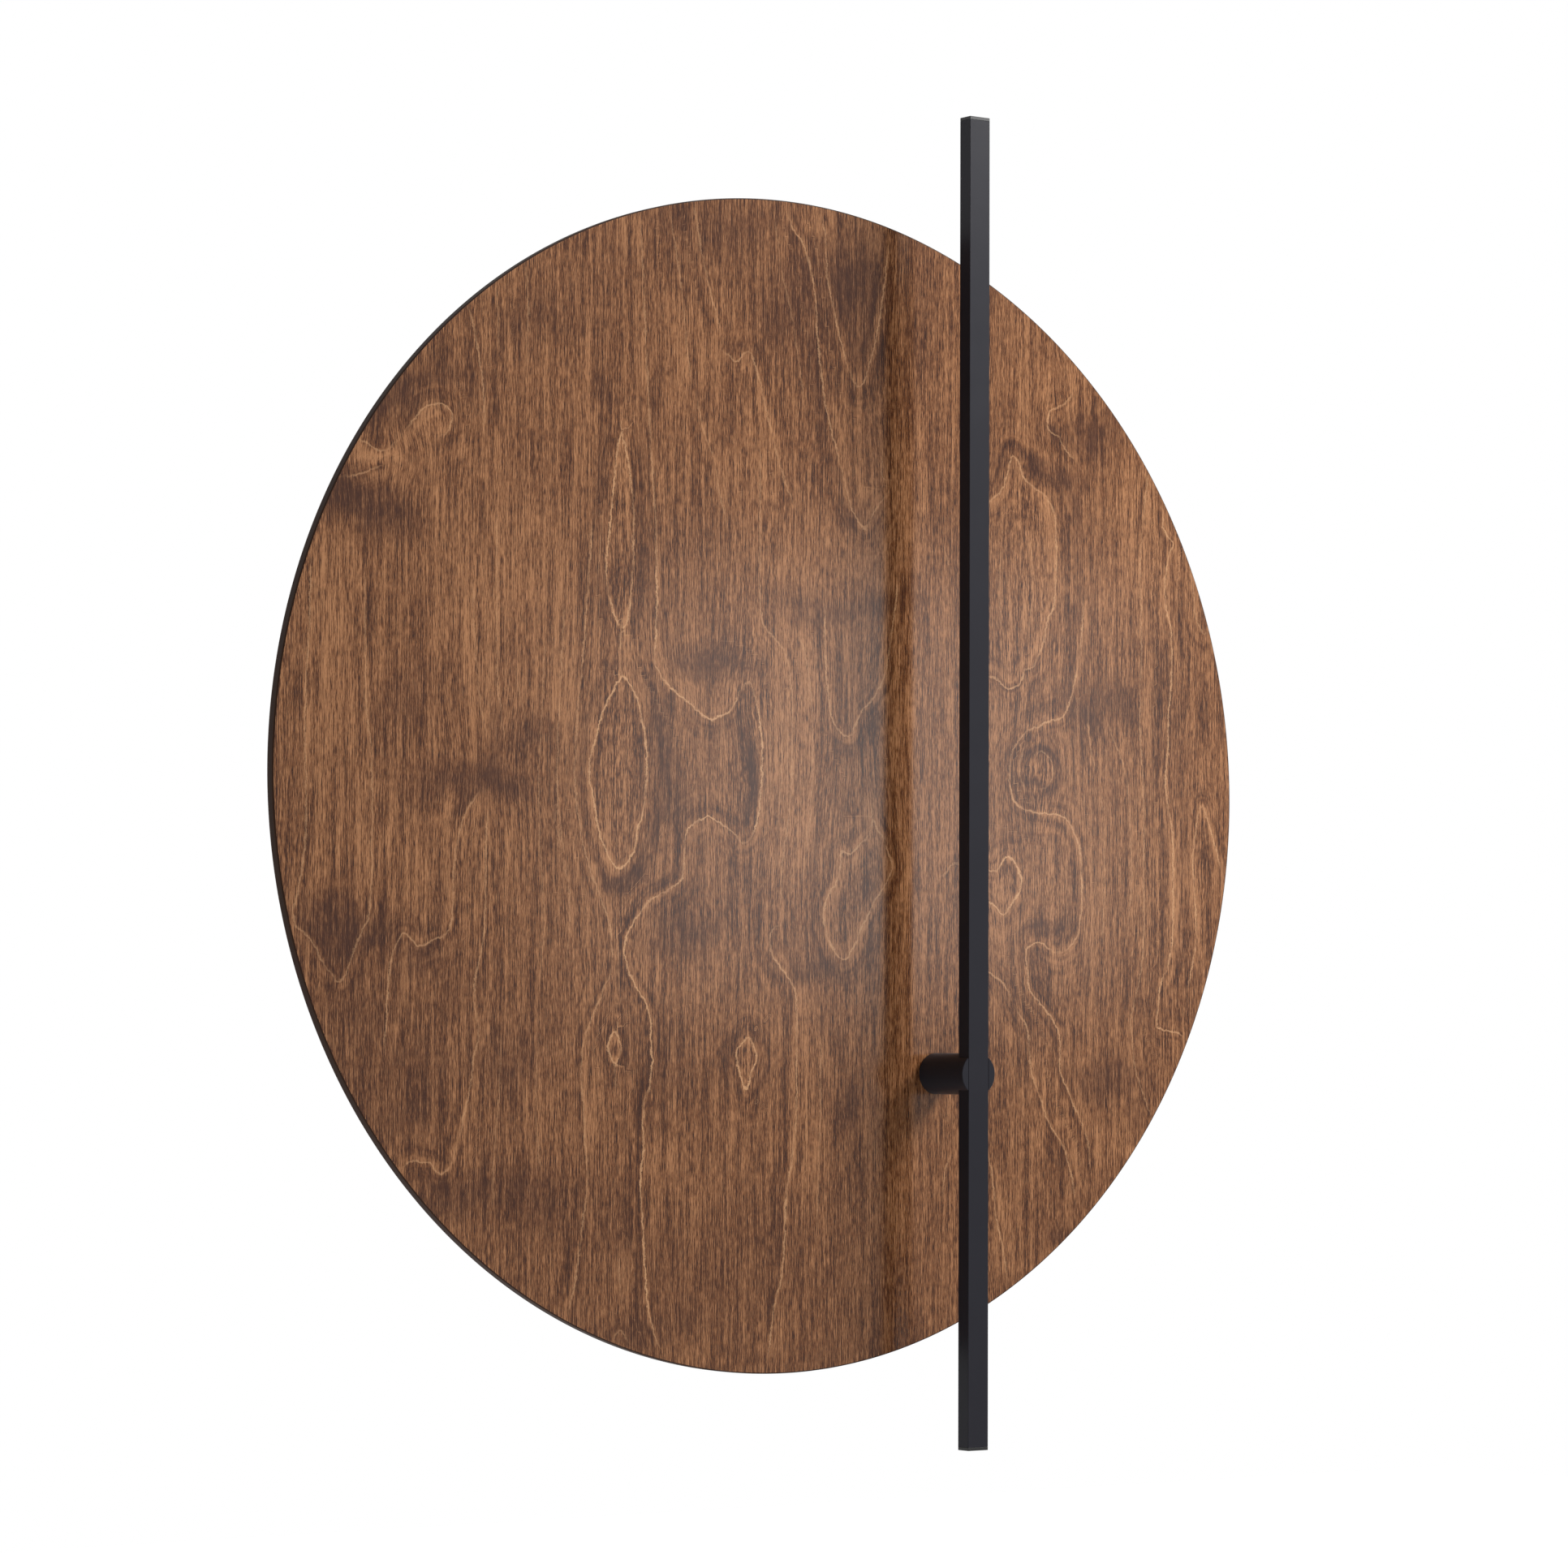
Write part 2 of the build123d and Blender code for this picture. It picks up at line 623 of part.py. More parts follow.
# ---- Swivel, on the disc's side --------------------------------------------------------------
with BuildPart() as swivel_bush:
    with BuildSketch(swivel.offset(bush_back_out)):
        Circle(bush_flange_diameter / 2)
    extrude(amount=bush_flange_thickness)
    with BuildSketch(swivel.offset(disc_back_out)):
        Circle(bush_sleeve_diameter / 2)
    extrude(amount=disc_thickness)
    with BuildSketch(swivel.offset(bush_back_out)):
        Circle(nipple_diameter / 2 + running_gap)
    extrude(amount=bush_flange_thickness + disc_thickness, mode=Mode.SUBTRACT)

with BuildPart() as slip_ring:
    with BuildSketch(swivel.offset(disc_front_out)):
        Circle(slip_ring_diameter / 2)
        Circle(nipple_diameter / 2 + ring_gap, mode=Mode.SUBTRACT)
    extrude(amount=slip_ring_thickness)

with BuildPart() as stop_pin:
    with BuildSketch(wall_parallel(disc_back_out)):
        with Locations(stop_pin_spot):
            Circle(stop_pin_diameter / 2)
    extrude(amount=-(disc_back_out - stop_washer_out + head_gap))
    with BuildSketch(wall_parallel(disc_back_out)):
        with Locations(stop_pin_spot):
            Circle(clip_screw_diameter / 2)
    extrude(amount=clip_screw_bite)

# ---- Swivel, on the bar's side ---------------------------------------------------------------
with BuildPart() as nipple:
    with BuildSketch(swivel.offset(nipple_back_out)):
        Circle(nipple_diameter / 2)
        Circle(wire_bore / 2, mode=Mode.SUBTRACT)
    extrude(amount=nipple_front_out - nipple_back_out)
    flat_depth = nipple_diameter / 2 - flat_offset
    with BuildSketch(swivel.offset(nipple_back_out)):
        with Locations((0, flat_offset + flat_depth)):
            Rectangle(nipple_diameter, 2 * flat_depth)
    extrude(amount=bush_back_out - nipple_back_out, mode=Mode.SUBTRACT)

with BuildPart() as stop_washer:
    with BuildSketch(swivel.offset(stop_washer_out)):
        Circle(stop_washer_diameter / 2)
        with Locations((0, -stop_arm_reach / 2)):
            Rectangle(stop_arm_width, stop_arm_reach)
        with BuildSketch(mode=Mode.PRIVATE) as keyed_bore:
            Circle(nipple_diameter / 2 + thread_gap)
            with Locations((0, flat_offset + thread_gap + flat_depth)):
                Rectangle(nipple_diameter, 2 * flat_depth, mode=Mode.SUBTRACT)
        add(keyed_bore.sketch, mode=Mode.SUBTRACT)
    extrude(amount=stop_washer_thickness)

with BuildPart() as spring_washer:
    with BuildSketch(swivel.offset(spring_washer_out)):
        Circle(stop_washer_diameter / 2)
        Circle(nipple_diameter / 2 + head_gap, mode=Mode.SUBTRACT)
    extrude(amount=spring_washer_thickness)

with BuildPart() as lock_nuts:
    for number in range(lock_nut_count):
        nut_out = spring_washer_out - (number + 1) * lock_nut_thickness
        with BuildSketch(swivel.offset(nut_out + lock_nut_gap)):
            RegularPolygon(lock_nut_flats / 2, 6, major_radius=False, rotation=lock_nut_turn * number)
            Circle(nipple_diameter / 2 + thread_gap, mode=Mode.SUBTRACT)
        extrude(amount=lock_nut_thickness - lock_nut_gap)

with BuildPart() as post:
    with BuildSketch(swivel.offset(post_base_out)):
        Circle(post_diameter / 2)
    extrude(amount=bar_front_out - post_base_out)
    chamfer(post.faces().sort_by(Axis.Y)[0].edges(), post_edge_break)
    with BuildSketch(swivel.offset(bar_back_out)):
        Rectangle(bar_width + 2 * slot_gap, post_diameter)
    extrude(amount=bar_depth, mode=Mode.SUBTRACT)
    with BuildSketch(swivel.offset(post_base_out)):
        Circle(nipple_diameter / 2 + thread_gap)
    extrude(amount=nipple_grip, mode=Mode.SUBTRACT)
    with BuildSketch(swivel.offset(post_base_out)):
        Circle(wire_bore / 2)
        with GridLocations(0, 2 * post_screw_offset, 1, 2):
            Circle(post_screw_diameter / 2 + head_gap)
    extrude(amount=bar_back_out - post_base_out, mode=Mode.SUBTRACT)
    with BuildSketch(swivel.offset(post_base_out)):
        with GridLocations(0, 2 * post_screw_offset, 1, 2):
            Circle(post_screw_head / 2 + head_gap)
    extrude(amount=post_screw_seat_out - post_base_out, mode=Mode.SUBTRACT)

with BuildPart() as post_screws:
    with BuildSketch(swivel.offset(post_screw_seat_out - post_screw_head_height)):
        with GridLocations(0, 2 * post_screw_offset, 1, 2):
            Circle(post_screw_head / 2)
            RegularPolygon(post_screw_socket / 2, 6, major_radius=False, mode=Mode.SUBTRACT)
    extrude(amount=post_screw_head_height)
    with BuildSketch(swivel.offset(post_screw_seat_out - post_screw_head_height / 2)):
        with GridLocations(0, 2 * post_screw_offset, 1, 2):
            Circle(post_screw_diameter / 2)
    extrude(amount=post_screw_head_height / 2 + post_floor + post_screw_reach)

# ---- Light bar -------------------------------------------------------------------------------
with BuildPart() as bar_profile:
    with BuildSketch(bar_section(bar_bottom_z)):
        with Locations((0, -(bar_front_out + bar_back_out) / 2)):
            RectangleRounded(bar_width, bar_depth, bar_edge_round)
        with Locations((0, -(inner_front_out + lip_inner_out) / 2)):
            Rectangle(inner_width, inner_front_out - lip_inner_out, mode=Mode.SUBTRACT)
        with Locations((0, -(bar_back_out + lip_thickness / 2))):
            Rectangle(mouth_width, lip_thickness, mode=Mode.SUBTRACT)
    extrude(amount=bar_top_z - bar_bottom_z)

with BuildPart() as bar_block:
    with BuildSketch(bar_section(post_z - block_length / 2)):
        block_front_out = inner_front_out - block_gap
        with Locations((0, -(lip_inner_out + block_front_out) / 2)):
            Rectangle(inner_width - 2 * block_gap, block_front_out - lip_inner_out)
        with Locations((0, -(bar_back_out + lip_thickness / 2))):
            Rectangle(mouth_width - 2 * block_gap, lip_thickness)
    extrude(amount=block_length)
    with BuildSketch(swivel.offset(bar_back_out)):
        Rectangle(mouth_width - groove_width, wire_bore)
    extrude(amount=2 * groove_height, mode=Mode.SUBTRACT)
    groove_x = (mouth_width - groove_width) / 2
    with BuildSketch(swivel.offset(bar_back_out + groove_height)):
        with GridLocations(2 * groove_x, 0, 2, 1):
            Rectangle(groove_width, block_length)
    extrude(amount=groove_height, mode=Mode.SUBTRACT)
    with BuildSketch(swivel.offset(bar_back_out)):
        with GridLocations(0, 2 * post_screw_offset, 1, 2):
            Circle(post_screw_diameter / 2 + thread_gap)
    extrude(amount=post_screw_reach + head_gap, mode=Mode.SUBTRACT)

diffuser_spans = {
    "upper": (post_z + diffuser_start, bar_top_z),
    "lower": (bar_bottom_z, post_z - diffuser_start),
}
board_spans = {
    "upper": (post_z + board_start, board_top_z),
    "lower": (board_bottom_z, post_z - board_start),
}
diffusers, boards, chips, wires = {}, {}, {}, {}
for half, (low_z, high_z) in diffuser_spans.items():
    with BuildPart() as diffuser:
        with BuildSketch(bar_section(low_z)):
            with Locations((0, -(bar_back_out + lip_thickness / 2))):
                Rectangle(mouth_width - 2 * block_gap, lip_thickness)
            with Locations((0, -(lip_inner_out + diffuser_flange / 2))):
                Rectangle(inner_width - 2 * block_gap, diffuser_flange)
        extrude(amount=high_z - low_z)
    diffusers[half] = diffuser

for half, (low_z, high_z) in board_spans.items():
    with BuildPart() as board:
        with BuildSketch(wall_parallel(board_out, post_x, (low_z + high_z) / 2)):
            Rectangle(board_width, high_z - low_z)
        extrude(amount=board_thickness)
    boards[half] = board
    chip_count = int((high_z - low_z - chip_pitch) // chip_pitch) + 1
    with BuildPart() as chip_row:
        with BuildSketch(wall_parallel(board_out, post_x, (low_z + high_z) / 2)):
            with GridLocations(0, chip_pitch, 1, chip_count):
                Rectangle(chip_width, chip_length)
        extrude(amount=-chip_height)
    chips[half] = chip_row

for half, upward in (("upper", 1), ("lower", -1)):
    wire_out = bar_back_out + 1.5 * groove_height
    land_out = board_out - wire_diameter / 2
    land_start = board_start + core_ramp
    with BuildPart() as wire_pair:
        for side in (-1, 1):
            route = [
                (post_x + side * core_spread, -wire_out, post_z + upward * core_rise),
                (post_x + side * groove_x, -wire_out - core_bow, post_z + upward * core_fork),
                (post_x + side * groove_x, -wire_out, post_z + upward * board_start),
                (post_x + side * groove_x, -land_out, post_z + upward * land_start),
                (post_x + side * groove_x, -land_out, post_z + upward * (land_start + core_landing)),
            ]
            with BuildLine() as wire_path:
                FilletPolyline(*route, radius=corner_radii(route))
            with BuildSketch(route_start(route)):
                Circle(wire_diameter / 2)
            sweep(path=wire_path.line)
    wires[half] = wire_pair

caps = {}
for end, end_z, outward in (("top", bar_top_z, 1), ("bottom", bar_bottom_z, -1)):
    with BuildPart() as cap:
        with BuildSketch(bar_section(end_z)):
            with Locations((0, -(bar_front_out + bar_back_out) / 2)):
                RectangleRounded(bar_width, bar_depth, bar_edge_round)
        extrude(amount=outward * cap_thickness)
        chamfer(cap.faces().filter_by(Axis.Z).edges(), cap_edge_round)
        plug_back_out = lip_inner_out + diffuser_flange + block_gap
        plug_front_out = inner_front_out - block_gap
        with BuildSketch(bar_section(end_z)):
            with Locations((0, -(plug_back_out + plug_front_out) / 2)):
                Rectangle(inner_width - 2 * block_gap, plug_front_out - plug_back_out)
        extrude(amount=-outward * cap_plug_length)
    caps[end] = cap

# ---- Labels and files --------------------------------------------------------------------------
pieces = {
    "disc_panel": disc_panel,
    "canopy_cup": canopy_cup,
    "cup_screws": cup_screws,
    "wall_plate": wall_plate,
    "canopy_side_screws": side_screws,
    "mains_cable_grommet": cable_grommet,
    "lead_grommet": lead_grommet,
    "led_driver": led_driver,
    "driver_screws": driver_screws,
    "terminal_block": terminal_block,
    "terminal_screws": terminal_screws,
    "terminal_fixing_screw": terminal_fixing_screw,
    "earth_terminal": earth_terminal,
    "earth_screw": earth_screw,
    "supply_wires": supply_wires,
    "earth_wire": earth_wire,
    "lamp_lead": lamp_lead,
    "lead_clips": lead_clips,
    "clip_screws": clip_screws,
    "swivel_bush": swivel_bush,
    "slip_ring": slip_ring,
    "stop_pin": stop_pin,
    "hollow_nipple": nipple,
    "stop_washer": stop_washer,
    "spring_washer": spring_washer,
    "lock_nuts": lock_nuts,
    "post": post,
    "post_screws": post_screws,
    "bar_profile": bar_profile,
    "bar_fixing_block": bar_block,
    "upper_diffuser": diffusers["upper"],
    "lower_diffuser": diffusers["lower"],
    "upper_led_board": boards["upper"],
    "lower_led_board": boards["lower"],
    "upper_led_chips": chips["upper"],
    "lower_led_chips": chips["lower"],
    "upper_bar_wires": wires["upper"],
    "lower_bar_wires": wires["lower"],
    "top_end_cap": caps["top"],
    "bottom_end_cap": caps["bottom"],
}
os.makedirs("parts", exist_ok=True)
for node, piece in pieces.items():
    piece.part.label = node
    export_step(piece.part, f"parts/{node}.step")
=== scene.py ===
"""Wall lamp: a round stained plywood disc, and a black light bar that swivels on one post.

Laid out as a Blender add-on: settings, one operator for each group of pieces, one panel.
"""
import json
import math

import bmesh
import bpy
import numpy
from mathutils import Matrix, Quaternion, Vector


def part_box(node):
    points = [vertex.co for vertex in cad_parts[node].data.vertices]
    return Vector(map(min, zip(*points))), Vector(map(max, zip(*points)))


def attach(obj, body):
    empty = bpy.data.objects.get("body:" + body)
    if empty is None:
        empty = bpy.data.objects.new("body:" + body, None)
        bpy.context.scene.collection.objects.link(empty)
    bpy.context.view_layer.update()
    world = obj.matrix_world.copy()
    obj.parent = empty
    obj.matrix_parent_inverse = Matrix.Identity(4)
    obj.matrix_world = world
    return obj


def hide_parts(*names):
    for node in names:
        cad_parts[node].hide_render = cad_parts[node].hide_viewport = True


bl_info = {
    "name": "Disc wall lamp",
    "version": (1, 0, 0),
    "blender": (4, 5, 0),
    "location": "View3D > Sidebar > Wall lamp",
    "description": "Builds a plywood disc wall lamp with a swivelling light bar",
    "category": "Object",
}

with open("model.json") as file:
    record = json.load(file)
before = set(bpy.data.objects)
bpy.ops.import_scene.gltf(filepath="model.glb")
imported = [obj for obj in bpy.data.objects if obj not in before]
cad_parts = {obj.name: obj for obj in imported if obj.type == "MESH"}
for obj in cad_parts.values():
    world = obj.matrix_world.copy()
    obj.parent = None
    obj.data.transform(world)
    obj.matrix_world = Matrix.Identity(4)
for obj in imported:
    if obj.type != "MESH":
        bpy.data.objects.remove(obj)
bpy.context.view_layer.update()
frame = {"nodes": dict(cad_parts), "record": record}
NODES = frame["nodes"]
MM = 0.001

# The Mix node's colour sockets, which share their names with its other sockets.
MIX_SHARE, MIX_FIRST, MIX_SECOND, MIX_RESULT = 0, 6, 7, 2


# ---- Shader maths --------------------------------------------------------------------------
class Wire:
    """One node socket that Python's operators turn into Math nodes."""

    def __init__(self, finish, socket):
        self.finish = finish
        self.socket = socket

    def math(self, operation, *others, clamp=False):
        options = {"operation": operation, "use_clamp": clamp}
        return self.finish.node("ShaderNodeMath", options, [self, *others])

    def __add__(self, other):
        return self.math("ADD", other)

    __radd__ = __add__

    def __mul__(self, other):
        return self.math("MULTIPLY", other)

    __rmul__ = __mul__

    def __sub__(self, other):
        return self.math("SUBTRACT", other)

    def __rsub__(self, other):
        return (self * -1.0) + other

    def __abs__(self):
        return self.math("ABSOLUTE")

    def clamped(self):
        """Kept between 0 and 1."""
        return self.math("ADD", 0.0, clamp=True)

    def most(self, other):
        return self.math("MAXIMUM", other)

    def step_up(self, low, high, start=0.0, end=1.0):
        """The start value below low, the end value above high, smooth between them."""
        options = {"interpolation_type": "SMOOTHSTEP", "clamp": True}
        return self.finish.node("ShaderNodeMapRange", options, [self, low, high, start, end])

    def step_down(self, low, high):
        """1 below low, 0 above high, smooth between them."""
        return self.step_up(low, high, 1.0, 0.0)


class Finish:
    """A material under construction, with one method that adds any node."""

    def __init__(self, name):
        self.material = bpy.data.materials.new(name)
        self.open(self.material, "ShaderNodeOutputMaterial", "ShaderNodeBsdfPrincipled")

    def open(self, owner, output, shader):
        owner.use_nodes = True
        self.tree = owner.node_tree
        self.tree.nodes.clear()
        self.output = self.tree.nodes.new(output)
        self.shader = self.tree.nodes.new(shader)
        self.tree.links.new(self.shader.outputs[0], self.output.inputs["Surface"])
        self.place = None

    def node(self, kind, options=None, inputs=(), output=0):
        """Adds a node with its options and inputs, and gives the output asked for."""
        made = self.tree.nodes.new(kind)
        for key, value in (options or {}).items():
            setattr(made, key, value)
        pairs = inputs.items() if isinstance(inputs, dict) else enumerate(inputs)
        for key, value in pairs:
            self.plug(made.inputs[key], value)
        return Wire(self, made.outputs[output])

    def plug(self, socket, value):
        if isinstance(value, Wire):
            self.tree.links.new(value.socket, socket)
        else:
            socket.default_value = value

    def set(self, **sockets):
        """Sets or links the shader's sockets; an underscore in a name stands for a space."""
        for key, value in sockets.items():
            self.plug(self.shader.inputs[key.replace("_", " ")], value)
        return self

    def point(self):
        """The surface point in metres, in the lamp's own frame."""
        if self.place is None:
            self.place = self.node("ShaderNodeTexCoord", output="Object")
        return self.place

    def attribute(self, name):
        """A vector kept at the mesh's points."""
        return self.node("ShaderNodeAttribute", {"attribute_name": name}, output="Vector")

    def parts(self, vector):
        """The three numbers of a vector."""
        split = self.node("ShaderNodeSeparateXYZ", inputs=[vector])
        sockets = split.socket.node.outputs
        return [Wire(self, socket) for socket in sockets]

    def vector(self, x, y, z):
        return self.node("ShaderNodeCombineXYZ", inputs=[x, y, z])

    def millimetres(self):
        """The surface point's three numbers in millimetres."""
        scale = (1 / MM, 1 / MM, 1 / MM)
        options = {"operation": "MULTIPLY"}
        return self.parts(self.node("ShaderNodeVectorMath", options, [self.point(), scale]))

    def noise(self, vector, scale, detail=2.0, roughness=0.5, seed=0.0):
        inputs = {
            "Vector": vector,
            "W": seed,
            "Scale": scale,
            "Detail": detail,
            "Roughness": roughness,
        }
        return self.node("ShaderNodeTexNoise", {"noise_dimensions": "4D"}, inputs)

    def mix(self, share, first, second, blend="MIX"):
        """Mixes two colours, through the Mix node's colour sockets."""
        options = {"data_type": "RGBA", "blend_type": blend, "clamp_factor": True}
        inputs = {MIX_SHARE: share, MIX_FIRST: first, MIX_SECOND: second}
        return self.node("ShaderNodeMix", options, inputs, MIX_RESULT)

    def bump(self, height, strength, distance):
        inputs = {"Height": height, "Strength": strength, "Distance": distance}
        self.plug(self.shader.inputs["Normal"], self.node("ShaderNodeBump", inputs=inputs))
        return self


class Surround(Finish):
    """The world's shader, built with the same methods."""

    def __init__(self, name):
        self.world = bpy.data.worlds.new(name)
        self.open(self.world, "ShaderNodeOutputWorld", "ShaderNodeBackground")


def colour(red, green, blue):
    return (red, green, blue, 1.0)


